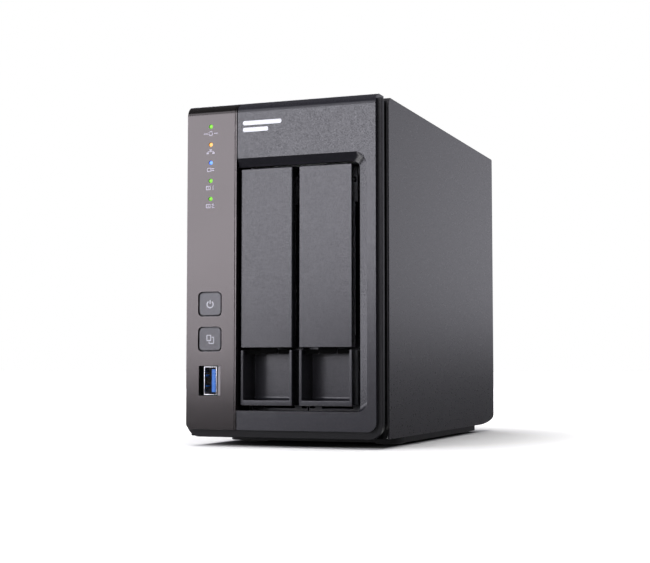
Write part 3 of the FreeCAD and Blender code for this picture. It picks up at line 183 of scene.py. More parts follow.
def powder_coat():
    """Fine powder-coated steel of the cover."""
    finish = Finish("powder_coat", (0.033, 0.0315, 0.0345), 0.29)
    fine = finish.noise(0.6 * MM, 2)
    finish.vary(fine, 0.20)
    finish.vary(finish.noise(28 * MM, 3), 0.05)
    finish.gleam(fine, 0.58, 0.60)
    finish.roughen(finish.noise(1.1 * MM, 2), 0.05)
    finish.emboss(fine, 0.012 * MM)
    finish.worn_and_highlit_edges((0.16, 0.158, 0.16), 0.35 * MM, 0.35)
    return finish.done()


def eroded_plastic(name, colour, roughness):
    """Moulded plastic with the fine grain of a spark-eroded mould."""
    finish = Finish(name, colour, roughness)
    grain = finish.noise(0.45 * MM, 1)
    finish.vary(grain, 0.25)
    finish.vary(finish.noise(22 * MM, 2), 0.04)
    finish.gleam(grain, 0.57, 0.60)
    finish.roughen(finish.noise(0.9 * MM, 2), 0.02)
    finish.emboss(grain, 0.009 * MM)
    finish.worn_and_highlit_edges(tuple(2.1 * part for part in colour), 0.3 * MM, 0.35)
    return finish.done()


def satin_strip():
    """The warm metallic plastic of the indicator strip."""
    finish = Finish("satin_strip", (0.071, 0.0645, 0.0625), 0.15, 0.85)
    flake = finish.noise(0.30 * MM, 1)
    finish.vary(flake, 0.10)
    finish.vary(finish.noise(30 * MM, 2), 0.04)
    finish.roughen(finish.noise(0.6 * MM, 2), 0.03)
    finish.emboss(flake, 0.003 * MM)
    finish.worn_and_highlit_edges((0.42, 0.38, 0.375), 0.3 * MM, 0.5)
    return finish.done()


def black_plastic(name="black_plastic", roughness=0.32, colour=(0.012, 0.012, 0.013), sheen=0.5):
    """Moulded black plastic, a little lighter at its edges: partly rubbed wear, partly a painted
    highlight.
    """
    finish = Finish(name, colour, roughness)
    finish.set("Specular IOR Level", sheen)
    grain = finish.noise(0.5 * MM, 2)
    finish.vary(grain, 0.2)
    finish.roughen(finish.noise(2 * MM, 3), 0.08)
    finish.emboss(grain, 0.010 * MM)
    finish.worn_and_highlit_edges((0.05, 0.05, 0.052), 0.3 * MM, 0.6)
    return finish.done()


def rubber():
    finish = Finish("foot_rubber", (0.018, 0.018, 0.018), 0.78)
    grain = finish.noise(0.5 * MM, 4)
    finish.vary(grain, 0.3)
    finish.vary(finish.noise(4 * MM, 2), 0.15)
    finish.emboss(grain, 0.03 * MM)
    return finish.done()


def plated_steel(name, colour, roughness, spangle=6 * MM):
    """Zinc or nickel plate: metal with faint spangle and fine handling scratches."""
    finish = Finish(name, colour, roughness, 1.0)
    finish.vary(finish.cells(spangle), 0.07)
    finish.roughen(finish.noise(spangle, 3), 0.08)
    scratch = finish.noise(1.2 * MM, 3, (0.05, 1, 1))
    finish.emboss(scratch, 0.006 * MM)
    finish.worn_and_highlit_edges(tuple(min(1.0, 1.3 * part) for part in colour), 0.3 * MM, 0.4)
    return finish.done()


def brushed(name, colour, roughness, direction):
    """Metal brushed along one axis."""
    finish = Finish(name, colour, roughness, 1.0)
    lines = finish.noise(0.35 * MM, 3, direction)
    finish.vary(lines, 0.12)
    finish.roughen(lines, 0.08)
    finish.emboss(lines, 0.004 * MM)
    return finish.done()


def cast_metal():
    """Die-cast aluminium of the drives."""
    finish = Finish("cast_metal", (0.36, 0.365, 0.37), 0.48, 1.0)
    grain = finish.noise(0.9 * MM, 4)
    finish.vary(grain, 0.10)
    finish.vary(finish.noise(9 * MM, 2), 0.06)
    finish.roughen(grain, 0.10)
    finish.emboss(grain, 0.03 * MM)
    finish.worn_and_highlit_edges((0.62, 0.62, 0.63), 0.4 * MM, 0.6)
    return finish.done()


def solder_mask(name="solder_mask", colour=(0.012, 0.085, 0.040)):
    """A circuit board: green lacquer over a weave of copper tracks, with small pads."""
    finish = Finish(name, colour, 0.30)
    finish.set("Coat Weight", 0.3)
    weave = finish.noise(0.7 * MM, 1, (1, 0.12, 1))
    cross = finish.noise(0.7 * MM, 1, (1, 1, 0.12))
    tracks = finish.ramp(finish.math("MAXIMUM", weave, cross), 0.60, 0.64)
    finish.blend(finish.math("MULTIPLY", tracks, 0.6), (0.03, 0.19, 0.085))
    pads = finish.ramp(finish.cells(2.6 * MM), 0.17, 0.13)
    spread = finish.ramp(finish.noise(9 * MM, 1), 0.5, 0.56)
    finish.blend(finish.math("MULTIPLY", pads, spread), (0.55, 0.50, 0.38))
    finish.emboss(tracks, 0.03 * MM)
    finish.roughen(finish.noise(3 * MM, 2), 0.06)
    return finish.done()


def epoxy():
    finish = Finish("chip_epoxy", (0.016, 0.016, 0.018), 0.5)
    grain = finish.noise(0.25 * MM, 3)
    finish.vary(grain, 0.3)
    finish.emboss(grain, 0.01 * MM)
    finish.roughen(grain, 0.1)
    return finish.done()


def gold():
    finish = Finish("contact_gold", (0.83, 0.60, 0.24), 0.22, 1.0)
    finish.vary(finish.noise(0.8 * MM, 3), 0.10)
    finish.roughen(finish.noise(0.4 * MM, 2), 0.08)
    return finish.done()


def copper_winding():
    finish = Finish("copper_winding", (0.42, 0.16, 0.06), 0.35, 0.9)
    lines = finish.noise(0.3 * MM, 1, (1, 0.1, 1))
    finish.vary(lines, 0.35)
    finish.emboss(lines, 0.05 * MM)
    return finish.done()


def glossy_colour(name, colour, roughness=0.28):
    """Small coloured mouldings, such as socket tongues."""
    finish = Finish(name, colour, roughness)
    finish.vary(finish.noise(1.5 * MM, 2), 0.10)
    finish.roughen(finish.noise(0.6 * MM, 2), 0.07)
    finish.emboss(finish.noise(0.4 * MM, 2), 0.006 * MM)
    return finish.done()


def socket_tongue():
    """The tongue of the front socket: bright blue in front, with painted shade that darkens it in the
    depth of the socket.
    """
    finish = Finish("front_socket_blue", (0.045, 0.230, 0.780), 0.28)
    finish.vary(finish.noise(1.5 * MM, 2), 0.10)
    finish.roughen(finish.noise(0.6 * MM, 2), 0.07)
    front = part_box("front_usb_tongue")[0].y
    # painted shade: the blue turns near-black towards the back of the socket
    depth_shade = finish.ramp(finish.axes(finish.place)["Y"], front + 2 * MM, front + 7 * MM)
    finish.blend(depth_shade, (0.004, 0.006, 0.016))
    return finish.done()


def near_black_shade():
    """A near-black, dull material that swallows the light: painted shade, put in narrow gaps where there
    is only shade.
    """
    finish = Finish("near_black_shade", (0.003, 0.003, 0.003), 0.95)
    finish.set("Specular IOR Level", 0.05)
    finish.vary(finish.cells(0.5 * MM), 0.4)
    finish.emboss(finish.noise(0.4 * MM, 2), 0.05 * MM)
    return finish.done()


def print_ink(name, colour, strength=0.0):
    """Screen-printed ink with a slightly uneven edge to its cover; given a strength, it also glows a
    little, a painted glow that makes the print read brighter.
    """
    finish = Finish(name, colour, 0.55)
    finish.vary(finish.noise(0.3 * MM, 2), 0.10)
    finish.roughen(finish.noise(0.5 * MM, 2), 0.08)
    # painted glow: the ink gives off light of its own colour, though it is no lamp
    if strength:
        finish.surface.inputs["Emission Color"].default_value = (*colour, 1)
        finish.set("Emission Strength", strength)
    return finish.done()


LAMP_GLOW = 0.8


def lamp_lens(name, colour, core):
    """A lit light guide: a pale core inside a duller rim of the full colour."""
    finish = Finish(name, colour, 0.5)
    finish.set("Specular IOR Level", 0.1)
    finish.vary(finish.noise(0.5 * MM, 2), 0.12)
    facing = finish.nodes.new("ShaderNodeLayerWeight")
    facing.inputs["Blend"].default_value = 0.5
    finish.blend(finish.ramp(facing.outputs["Facing"], 0.45, 0.12), core)
    finish.links.new(finish.colour, finish.surface.inputs["Emission Color"])
    finish.set("Emission Strength", LAMP_GLOW)
    return finish.done()


def paper_label():
    """A plain silver-white sticker with faint creases."""
    finish = Finish("plain_label", (0.70, 0.71, 0.72), 0.42)
    finish.vary(finish.noise(12 * MM, 3), 0.05)
    finish.emboss(finish.noise(5 * MM, 3), 0.05 * MM)
    finish.roughen(finish.noise(2 * MM, 2), 0.05)
    return finish.done()


MATERIALS = {
    "cover": powder_coat(),
    "front": eroded_plastic("front_grain", (0.022, 0.0216, 0.0262), 0.21),
    "tray": eroded_plastic("tray_grain", (0.026, 0.0255, 0.0303), 0.22),
    "strip": satin_strip(),
    "button": eroded_plastic("button_grain", (0.085, 0.083, 0.090), 0.22),
    "frame": black_plastic("frame_black", 0.36, (0.006, 0.006, 0.0068), 0.17),
    "panel": eroded_plastic("panel_paint", (0.040, 0.040, 0.042), 0.45),
    "black": black_plastic(),
    "rubber": rubber(),
    "zinc": plated_steel("zinc_sheet", (0.52, 0.53, 0.54), 0.40),
    "nickel": plated_steel("nickel_plate", (0.60, 0.60, 0.60), 0.26, 2 * MM),
    "dark_screw": plated_steel("black_zinc", (0.10, 0.10, 0.105), 0.35, 2 * MM),
    "chrome": plated_steel("bright_plate", (0.78, 0.78, 0.79), 0.16, 3 * MM),
    "lid": brushed("brushed_lid", (0.58, 0.58, 0.59), 0.34, (1, 1, 0.04)),
    "fins": brushed("extruded_fins", (0.66, 0.67, 0.69), 0.36, (1, 0.04, 1)),
    "cast": cast_metal(),
    "board": solder_mask(),
    "chip": epoxy(),
    "gold": gold(),
    "brass": plated_steel("turned_brass", (0.70, 0.52, 0.24), 0.28, 2 * MM),
    "bronze": plated_steel("sintered_bronze", (0.42, 0.28, 0.13), 0.45, 1 * MM),
    "copper": copper_winding(),
    "blue": glossy_colour("socket_blue", (0.022, 0.120, 0.560)),
    "front_tongue": socket_tongue(),
    # painted shade: the near-black material of the shade pieces
    "shade_black": near_black_shade(),
    "slope_highlight_grey": glossy_colour("slope_highlight_grey", (0.36, 0.34, 0.345), 0.4),
    "ribbon": glossy_colour("ribbon_grey", (0.33, 0.34, 0.36), 0.4),
    "cable": glossy_colour("cable_black", (0.015, 0.015, 0.015), 0.45),
    # the printed inks glow a little: painted glow
    "white_ink_glowing": print_ink("white_ink_glowing", (0.86, 0.87, 0.90), 0.35),
    "grey_ink_glowing": print_ink("grey_ink_glowing", (0.66, 0.63, 0.72), 0.10),
    "icon_ink_glowing": print_ink("icon_ink_glowing", (0.70, 0.70, 0.74), 0.10),
    "label": paper_label(),
}

NODE_FINISH = {
    "outer_cover": "cover", "base_pan": "zinc", "base_plinth": "frame", "rubber_feet": "rubber",
    "rear_panel": "panel", "front_frame": "frame", "front_plate": "front", "indicator_strip": "strip",
    "power_button": "button", "copy_button": "button", "light_guides": "black", "front_board": "board",
    "tact_switches": "black", "reset_button": "black", "front_usb_shell": "chrome",
    "front_usb_tongue": "front_tongue", "front_usb_contacts": "gold", "drive_cage": "zinc",
    "cage_screws": "nickel", "tray_guides": "black", "backplane": "board", "drive_sockets": "black",
    "riser_socket": "black", "main_board": "board", "board_standoffs": "brass",
    "board_screws": "nickel", "heat_sink": "fins", "board_chips": "chip", "memory_module": "board",
    "coin_cell": "chrome", "board_sockets": "black", "usb_ports": "chrome", "usb_tongues": "blue",
    "video_port": "chrome", "lan_ports": "chrome", "power_jack": "black", "fan_frame": "black",
    "fan_bearing": "bronze", "fan_stator": "copper", "fan_rotor": "black", "fan_cable": "cable",
    "front_cable": "ribbon", "fan_screws": "dark_screw", "cover_screws": "dark_screw",
}
SIDE_FINISH = {
    "tray_": "tray", "lever_": "tray", "lever_pin_": "dark_screw", "lever_spring_": "nickel",
    "drive_screws_": "nickel", "drive_casting_": "cast", "drive_lid_": "lid", "drive_board_": "board",
}
for prefix, finish_name in SIDE_FINISH.items():
    for side in ("left", "right"):
        NODE_FINISH[prefix + side] = finish_name


def paint_nodes():
    for name, finish_name in NODE_FINISH.items():
        for place in NODES[name].material_slots:
            place.material = MATERIALS[finish_name]


def shade_smooth_group():
    """A node group that shades every face smooth, for use before a bevel."""
    group = bpy.data.node_groups.new("shade_smooth", "GeometryNodeTree")
    group.interface.new_socket("Geometry", in_out="INPUT", socket_type="NodeSocketGeometry")
    group.interface.new_socket("Geometry", in_out="OUTPUT", socket_type="NodeSocketGeometry")
    start = group.nodes.new("NodeGroupInput")
    end = group.nodes.new("NodeGroupOutput")
    faces = group.nodes.new("GeometryNodeSetShadeSmooth")
    edges = group.nodes.new("GeometryNodeSetShadeSmooth")
    edges.domain = "EDGE"
    group.links.new(start.outputs[0], faces.inputs["Geometry"])
    group.links.new(faces.outputs[0], edges.inputs["Geometry"])
    group.links.new(edges.outputs[0], end.inputs[0])
    return group


SMOOTH = shade_smooth_group()

# Flat faces with holes in them can't be joined into one polygon, so these keep their triangles
PIERCED = ("tray_left", "tray_right", "front_frame", "usb_ports")


def soften(node, width, segments=2, turn=30):
    """Round a CAD node's sharp edges a little, as moulding, folding or coating leaves them."""
    piece = NODES[node]
    weld = piece.modifiers.new("weld", "WELD")
    weld.merge_threshold = 0.002 * MM
    if node not in PIERCED:
        flat = piece.modifiers.new("flat", "DECIMATE")
        flat.decimate_type = "DISSOLVE"
        flat.angle_limit = math.radians(0.6)
    smooth = piece.modifiers.new("smooth", "NODES")
    smooth.node_group = SMOOTH
    edge = piece.modifiers.new("edge", "BEVEL")
    edge.width = width
    edge.segments = segments
    edge.limit_method = "ANGLE"
    edge.angle_limit = math.radians(turn)
    edge.miter_outer = "MITER_ARC"
    edge.use_clamp_overlap = node not in PIERCED
    normals = piece.modifiers.new("normals", "WEIGHTED_NORMAL")
    normals.weight = 100
    normals.keep_sharp = False


SOFT_EDGES = {
    "outer_cover": 0.22, "front_plate": 0.28, "indicator_strip": 0.25, "front_frame": 0.3,
    "base_plinth": 0.4, "rubber_feet": 0.5, "drive_cage": 0.15, "tray_guides": 0.2,
    "drive_sockets": 0.15, "board_sockets": 0.15, "riser_socket": 0.3, "heat_sink": 0.12,
    "memory_module": 0.08, "coin_cell": 0.35, "lan_ports": 0.25, "usb_ports": 0.2,
    "usb_tongues": 0.12, "video_port": 0.2, "power_jack": 0.25, "fan_frame": 0.3,
    "fan_screws": 0.25, "cover_screws": 0.3, "cage_screws": 0.25, "board_screws": 0.2,
    "front_usb_tongue": 0.15, "front_usb_contacts": 0.06, "front_usb_shell": 0.1,
    "board_chips": 0.15, "main_board": 0.12, "backplane": 0.12, "front_board": 0.08,
    "base_pan": 0.15,
}
for stem, stem_width in (("tray_", 0.25), ("lever_", 0.22), ("drive_screws_", 0.2),
                         ("drive_casting_", 0.5), ("drive_lid_", 0.3), ("lever_pin_", 0.2)):
    for side in ("left", "right"):
        SOFT_EDGES[stem + side] = stem_width

paint_nodes()
for softened, edge_width in SOFT_EDGES.items():
    soften(softened, edge_width * MM)


# ---------------------------------------------------------------- shapes

def make_piece(name, bm, finish, body, sharp=30):
    """Turn a mesh under construction into a piece of the object."""
    bmesh.ops.recalc_face_normals(bm, faces=bm.faces)
    mesh = bpy.data.meshes.new(name)
    bm.to_mesh(mesh)
    bm.free()
    mesh.shade_smooth()
    mesh.set_sharp_from_angle(angle=math.radians(sharp))
    mesh.materials.append(MATERIALS[finish])
    piece = bpy.data.objects.new(name, mesh)
    bpy.context.scene.collection.objects.link(piece)
    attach(piece, body)
    return piece


def frame_of(origin, right, up):
    """The placing of a flat drawing: its origin, its right and its up; it faces right x up."""
    right = Vector(right)
    up = Vector(up)
    out = right.cross(up)
    return Matrix.Translation(origin) @ Matrix((right, up, out)).transposed().to_4x4()


def front_frame_at(x, z, y):
    """Drawings on the front, which faces -Y: right is +X."""
    return frame_of((x, y, z), (1, 0, 0), (0, 0, 1))


def rear_frame_at(x, z, y):
    """Drawings on the rear, which faces +Y: right is -X."""
    return frame_of((x, y, z), (-1, 0, 0), (0, 0, 1))


def slab(bm, place, outline, low, high):
    """A prism on a closed outline, between two heights of the drawing."""
    bottom = [bm.verts.new(place @ Vector((u, v, low))) for u, v in outline]
    top = [bm.verts.new(place @ Vector((u, v, high))) for u, v in outline]
    bm.faces.new(top)
    bm.faces.new(bottom[::-1])
    for number in range(len(outline)):
        after = (number + 1) % len(outline)
        bm.faces.new((bottom[number], bottom[after], top[after], top[number]))


def arc(u, v, radius, start, end, steps=20):
    """Points on an arc, with angles in degrees."""
    return [(u + radius * math.cos(math.radians(start + (end - start) * step / steps)),
             v + radius * math.sin(math.radians(start + (end - start) * step / steps)))
            for step in range(steps + 1)]


def round_box(u, v, wide, tall, radius, steps=6):
    """A rounded rectangle about (u, v)."""
    points = []
    for turn, (side, rise) in enumerate(((1, 1), (-1, 1), (-1, -1), (1, -1))):
        points += arc(u + side * (wide / 2 - radius), v + rise * (tall / 2 - radius), radius,
                      90 * turn, 90 * turn + 90, steps)
    return points


def disc(bm, place, u, v, radius, low, high, steps=24):
    slab(bm, place, arc(u, v, radius, 0, 360 - 360 / steps, steps - 1), low, high)


def bar(bm, place, start, end, wide, low, high):
    """A straight stroke between two points."""
    along = (Vector(end) - Vector(start)).normalized() * wide / 2
    across = Vector((-along.y, along.x))
    start = Vector(start) - along
    end = Vector(end) + along
    slab(bm, place, [start - across, end - across, end + across, start + across], low, high)


def band(bm, place, outer, inner, low, high, closed=True):
    """A flat band between two lines of equally many points."""
    count = len(outer)
    rows = [[bm.verts.new(place @ Vector((u, v, height))) for u, v in line]
            for line, height in ((outer, low), (outer, high), (inner, high), (inner, low))]
    last = count if closed else count - 1
    for number in range(last):
        after = (number + 1) % count
        for row in range(4):
            beside = rows[(row + 1) % 4]
            bm.faces.new((rows[row][number], rows[row][after], beside[after], beside[number]))
    if not closed:
        bm.faces.new([row[0] for row in rows])
        bm.faces.new([row[-1] for row in rows][::-1])


def ring(bm, place, u, v, radius, wide, low, high, start=0, end=360):
    whole = end - start >= 360
    stop = end - 360 / 32 if whole else end
    outer = arc(u, v, radius + wide / 2, start, stop, 31)
    inner = arc(u, v, radius - wide / 2, start, stop, 31)
    band(bm, place, outer, inner, low, high, closed=whole)


def box_line(bm, place, u, v, wide, tall, radius, line, low, high):
    """The outline of a rounded rectangle, drawn with a line."""
    outer = round_box(u, v, wide, tall, radius)
    inner = round_box(u, v, wide - 2 * line, tall - 2 * line, max(radius - line, 0.05 * MM))
    band(bm, place, outer, inner, low, high)


def lathe(bm, place, profile, steps=32):
    """Turn a profile of (radius, height) pairs round the drawing's own axis."""
    rows = []
    for radius, height in profile:
        if radius == 0:
            rows.append([bm.verts.new(place @ Vector((0, 0, height)))])
        else:
            rows.append([bm.verts.new(place @ Vector((radius * math.cos(turn), radius * math.sin(turn),
                                                      height)))
                         for turn in (2 * math.pi * step / steps for step in range(steps))])
    for lower, upper in zip(rows, rows[1:]):
        for step in range(steps):
            after = (step + 1) % steps
            corners = [lower[step % len(lower)], lower[after % len(lower)],
                       upper[after % len(upper)], upper[step % len(upper)]]
            unique = list(dict.fromkeys(corners))
            bm.faces.new(unique)


def soft_box(bm, low, high, radius, segments=2):
    """A box between two corners with rounded edges."""
    made = bmesh.ops.create_cube(bm, size=1)["verts"]
    size = Vector(high) - Vector(low)
    middle = (Vector(high) + Vector(low)) / 2
    for vert in made:
        vert.co = Vector(part * long for part, long in zip(vert.co, size)) + middle
    edges = list({edge for vert in made for edge in vert.link_edges})
    bmesh.ops.bevel(bm, geom=edges, offset=radius, segments=segments, affect="EDGES",
                    profile=0.5, clamp_overlap=True)


def middle_of(node):
    low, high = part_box(node)
    return (low + high) / 2


# ---------------------------------------------------------------- front

INK = 0.02 * MM
STRIP_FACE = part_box("indicator_strip")[0].y
LAMP_PITCH = 9 * MM
LAMP_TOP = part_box("light_guides")[1].z - 1.1 * MM
CONTROLS_X = middle_of("light_guides").x
GREEN = ("green", (0.10, 0.42, 0.02), (0.28, 0.72, 0.10))
AMBER = ("amber", (0.80, 0.33, 0.05), (1.0, 0.62, 0.22))
BLUE = ("blue", (0.06, 0.12, 0.75), (0.24, 0.50, 1.0))
LAMP_COLOURS = [GREEN, AMBER, BLUE, GREEN, GREEN]


def lamps():
    """Lit light guides with domed ends; each reaches back to its chip on the board."""
    low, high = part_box("light_guides")
    radius = (high.x - low.x) / 2
    long = high.y - low.y
    for number, (colour_name, colour, core) in enumerate(LAMP_COLOURS):
        key = "lamp_" + colour_name
        if key not in MATERIALS:
            MATERIALS[key] = lamp_lens(key, colour, core)
        place = front_frame_at(CONTROLS_X, LAMP_TOP - number * LAMP_PITCH, low.y)
        bm = bmesh.new()
        dome = 0.7 * MM
        profile = [(0, -long), (radius, -long), (radius, -dome)]
        profile += [(radius * math.cos(math.radians(turn)), dome * (math.sin(math.radians(turn)) - 1))
                    for turn in range(15, 90, 15)]
        profile.append((0, 0))
        lathe(bm, place, profile, 28)
        piece = make_piece(f"lamp_{number + 1}", bm, key, "case")
        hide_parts("light_guides")


def lamp_symbols():
    """A printed sign under each lamp: pulse, network, plug, and drives 1 and 2."""
    bm = bmesh.new()
    line = 0.42 * MM

    def at(number):
        return front_frame_at(CONTROLS_X, LAMP_TOP - number * LAMP_PITCH - 3.5 * MM, STRIP_FACE)

    ink = (-INK, INK)
    place = at(0)
    ring(bm, place, 0, 0, 0.95 * MM, line, *ink)
    for side in (-1, 1):
        bar(bm, place, (side * 1.9 * MM, 0), (side * 3.6 * MM, 0), line, *ink)
    place = at(1)
    for u, v in ((0, 0.78), (-1.6, -0.78), (1.6, -0.78)):
        slab(bm, place, round_box(u * MM, v * MM, 1.2 * MM, 0.85 * MM, 0.1 * MM), *ink)
    bar(bm, place, (-1.6 * MM, 0), (1.6 * MM, 0), 0.3 * MM, *ink)
    draw_plug(bm, at(2), line, ink)
    for number in (3, 4):
        place = at(number)
        box_line(bm, place, -1.2 * MM, 0, 2.5 * MM, 2.1 * MM, 0.25 * MM, line, *ink)
        disc(bm, place, -1.2 * MM, 0, 0.34 * MM, *ink, 12)
        draw_digit(bm, place, 1.4 * MM, number - 2, line, ink)
    make_piece("lamp_symbols", bm, "grey_ink_glowing", "case")


def draw_plug(bm, place, line, ink):
    """A plug: a rounded box with two prongs."""
    box_line(bm, place, -0.75 * MM, 0, 2.3 * MM, 1.9 * MM, 0.25 * MM, line, *ink)
    for v in (-0.45 * MM, 0.45 * MM):
        bar(bm, place, (0.75 * MM, v), (1.75 * MM, v), line, *ink)


def draw_digit(bm, place, u, digit, line, ink):
    """A 1 or a 2, drawn with straight strokes."""
    half = 0.55 * MM
    tall = 0.85 * MM
    strokes = {1: [((0, -tall), (0, tall))],
               2: [((-half, tall), (half, tall)), ((half, tall), (half, 0)), ((half, 0), (-half, 0)),
                   ((-half, 0), (-half, -tall)), ((-half, -tall), (half, -tall))]}
    for start, end in strokes[digit]:
        bar(bm, place, (u + start[0], start[1]), (u + end[0], end[1]), line, *ink)


def button_symbols():
    """The power sign and the copy sign, printed on the two square buttons."""
    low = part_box("power_button")[0].y
    ink = (-INK, INK)
    place = front_frame_at(CONTROLS_X, middle_of("power_button").z, low)
    bm = bmesh.new()
    line = 0.55 * MM
    ring(bm, place, 0, -0.15 * MM, 1.65 * MM, line, *ink, start=125, end=415)
    bar(bm, place, (0, 0.3 * MM), (0, 1.75 * MM), line, *ink)
    make_piece("power_symbol", bm, "icon_ink_glowing", "power_button")
    place = front_frame_at(CONTROLS_X, middle_of("copy_button").z, low)
    bm = bmesh.new()
    box_line(bm, place, -0.62 * MM, 0.62 * MM, 2.5 * MM, 3.0 * MM, 0.35 * MM, 0.42 * MM, *ink)
    for start, end in (((1.15, 0.95), (1.95, 0.95)), ((1.95, 0.95), (1.95, -2.1)),
                       ((1.95, -2.1), (-0.45, -2.1)), ((-0.45, -2.1), (-0.45, -1.45))):
        bar(bm, place, [part * MM for part in start], [part * MM for part in end], 0.42 * MM, *ink)
    make_piece("copy_symbol", bm, "icon_ink_glowing", "copy_button")


def front_mark():
    """A plain white sign on the front plate: two bars, the lower one shorter."""
    place = front_frame_at(-20 * MM, 156.1 * MM, STRIP_FACE)
    bm = bmesh.new()
    for rise, long in ((1.65 * MM, 20.5 * MM), (-1.65 * MM, 13.5 * MM)):
        slab(bm, place, round_box(long / 2, rise, long, 2.1 * MM, 0.95 * MM), -INK, INK)
    make_piece("front_mark", bm, "white_ink_glowing", "case")


def shade_lips_under_levers():
    """Painted shade in the gap under each lever: near-black lips on the cup's roof, left and right of
    the lever's tongue, and a pad on the tongue itself, where the gap lies in shade."""
    cup_half_wide = 12.1 * MM
    notch_half_wide = 4.9 * MM
    pad_half_wide = 4.6 * MM
    lip_low, lip_high = 44.9 * MM, 47.1 * MM
    pad_low, pad_high = 45.2 * MM, 48.6 * MM
    for side in ("left", "right"):
        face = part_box("tray_" + side)[0].y
        middle = middle_of("lever_" + side).x
        lips = bmesh.new()
        for start, end in ((-cup_half_wide, -notch_half_wide), (notch_half_wide, cup_half_wide)):
            # painted shade: near-black lips where the roof's ledge lies in shade
            soft_box(lips, (middle + start, face + 3.6 * MM, lip_low),
                     (middle + end, face + 4.5 * MM, lip_high), 0.2 * MM)
        make_piece("cup_shade_lip_" + side, lips, "shade_black", "tray_" + side)
        # painted shade: a near-black pad over the lit tongue
        pad = bmesh.new()
        soft_box(pad, (middle - pad_half_wide, face + 2.3 * MM, pad_low),
                 (middle + pad_half_wide, face + 3.1 * MM, pad_high), 0.2 * MM)
        make_piece("tongue_shade_pad_" + side, pad, "shade_black", "lever_" + side)


def groove_fillers():
    """Near-black blocks that close the ends of the groove at the lower corners of the front: they fill
    the corner, and their near-black is painted shade for the groove.
    """
    low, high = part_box("front_frame")
    inset, reach, tall = 0.9 * MM, 7 * MM, 7 * MM
    spans = {"left": (low.x + inset, low.x + reach), "right": (high.x - reach, high.x - inset)}
    for side, (start, end) in spans.items():
        bm = bmesh.new()
        soft_box(bm, (start, low.y + 3.4 * MM, low.z + 0.3 * MM),
                 (end, low.y + 9.8 * MM, low.z + tall), 0.4 * MM)
        # painted shade: the blocks are near-black so the groove's ends read as shade
        make_piece("groove_filler_" + side, bm, "shade_black", "case")


def socket_slope_highlight():
    """A pale skin on the slope at the right of the front socket: a painted highlight where the slope
    faces the light.
    """
    half_tall = 7.2 * MM
    skin = 0.03 * MM
    inner = (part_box("front_usb_shell")[1].x + 0.25 * MM, STRIP_FACE + 1.76 * MM)
    outer = (CONTROLS_X + 5.85 * MM, STRIP_FACE + 0.02 * MM)
    outline = [inner, outer, (outer[0] - skin, outer[1] - skin), (inner[0] - skin, inner[1] - skin)]
    place = Matrix.Translation((0, 0, middle_of("front_usb_shell").z))
    bm = bmesh.new()
    slab(bm, place, outline, -half_tall, half_tall)
    # painted highlight: the pale skin lightens the slope
    make_piece("front_usb_slope", bm, "slope_highlight_grey", "case")


def socket_springs():
    """Two bent contact springs on the side of the front socket's shell."""
    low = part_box("front_usb_shell")[0]
    middle = middle_of("front_usb_shell").z
    wall = low.x + 0.35 * MM
    crest = wall + 0.9 * MM
    root = wall - 0.1 * MM
    outline = [(wall, low.y + 1.5 * MM), (crest, low.y + 4.0 * MM), (crest, low.y + 4.8 * MM),
               (wall, low.y + 7.0 * MM), (root, low.y + 7.0 * MM), (root, low.y + 1.5 * MM)]
    bm = bmesh.new()
    for rise in (-3.2 * MM, 3.2 * MM):
        slab(bm, Matrix.Translation((0, 0, middle + rise)), outline, -0.9 * MM, 0.9 * MM)
    make_piece("front_usb_springs", bm, "chrome", "case")


lamps()
lamp_symbols()
button_symbols()
front_mark()
shade_lips_under_levers()
groove_fillers()
socket_slope_highlight()
socket_springs()


# ---------------------------------------------------------------- rear

PANEL_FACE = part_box("rear_panel")[1].y
PORT_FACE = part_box("lan_ports")[1].y
BOARD_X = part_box("lan_ports")[1].x
LAN_HEIGHTS = (88 * MM, 69.5 * MM)
USB_HEIGHTS = (146 * MM, 107 * MM)
SCREEN_HEIGHT = 125 * MM
POWER_HEIGHT = 38 * MM
RESET_HEIGHT = 54 * MM


def lan_details():
    """Eight sprung contacts and two lamp windows in each network socket."""
    contact_count = 8
    contact_pitch = 1.02 * MM
    contact_half_wide = 0.17 * MM
    root = BOARD_X - 2.6 * MM
    outline = [(root, PORT_FACE - 2.0 * MM), (root - 0.3 * MM, PORT_FACE - 2.0 * MM),
               (root - 3.4 * MM, PORT_FACE - 10.5 * MM), (root - 3.1 * MM, PORT_FACE - 10.9 * MM)]
    lamp_x = BOARD_X - 11.9 * MM
    lamp_offset = 5.6 * MM
    springs = bmesh.new()
    windows = {"lamp_green": bmesh.new(), "lamp_amber": bmesh.new()}
    for height in LAN_HEIGHTS:
        for number in range(contact_count):
            rise = (number - (contact_count - 1) / 2) * contact_pitch
            place = Matrix.Translation((0, 0, height + rise))
            slab(springs, place, outline, -contact_half_wide, contact_half_wide)
        for side, key in ((-1, "lamp_green"), (1, "lamp_amber")):
            place = rear_frame_at(lamp_x, height + side * lamp_offset, PORT_FACE)
            slab(windows[key], place, round_box(0, 0, 1.7 * MM, 2.6 * MM, 0.3 * MM),
                 -0.3 * MM, 0.06 * MM)
    make_piece("lan_contacts", springs, "gold", "case")
    for key, bm in windows.items():
        make_piece("lan_" + key, bm, key, "case")


def rear_usb_contacts():
    """Four gold strips on each tongue of the rear sockets."""
    upper, lower = USB_HEIGHTS
    tongue_faces = ((4.9 * MM, upper), (12.7 * MM, upper), (4.5 * MM, lower))
    bm = bmesh.new()
    for depth, height in tongue_faces:
        face = BOARD_X - depth
        for rise in (-3.5 * MM, -1 * MM, 1 * MM, 3.5 * MM):
            middle = height + rise
            soft_box(bm, (face - 0.12 * MM, PORT_FACE - 9 * MM, middle - 0.5 * MM),
                     (face + 0.1 * MM, PORT_FACE - 2.6 * MM, middle + 0.5 * MM), 0.04 * MM)
    make_piece("rear_usb_contacts", bm, "gold", "case")


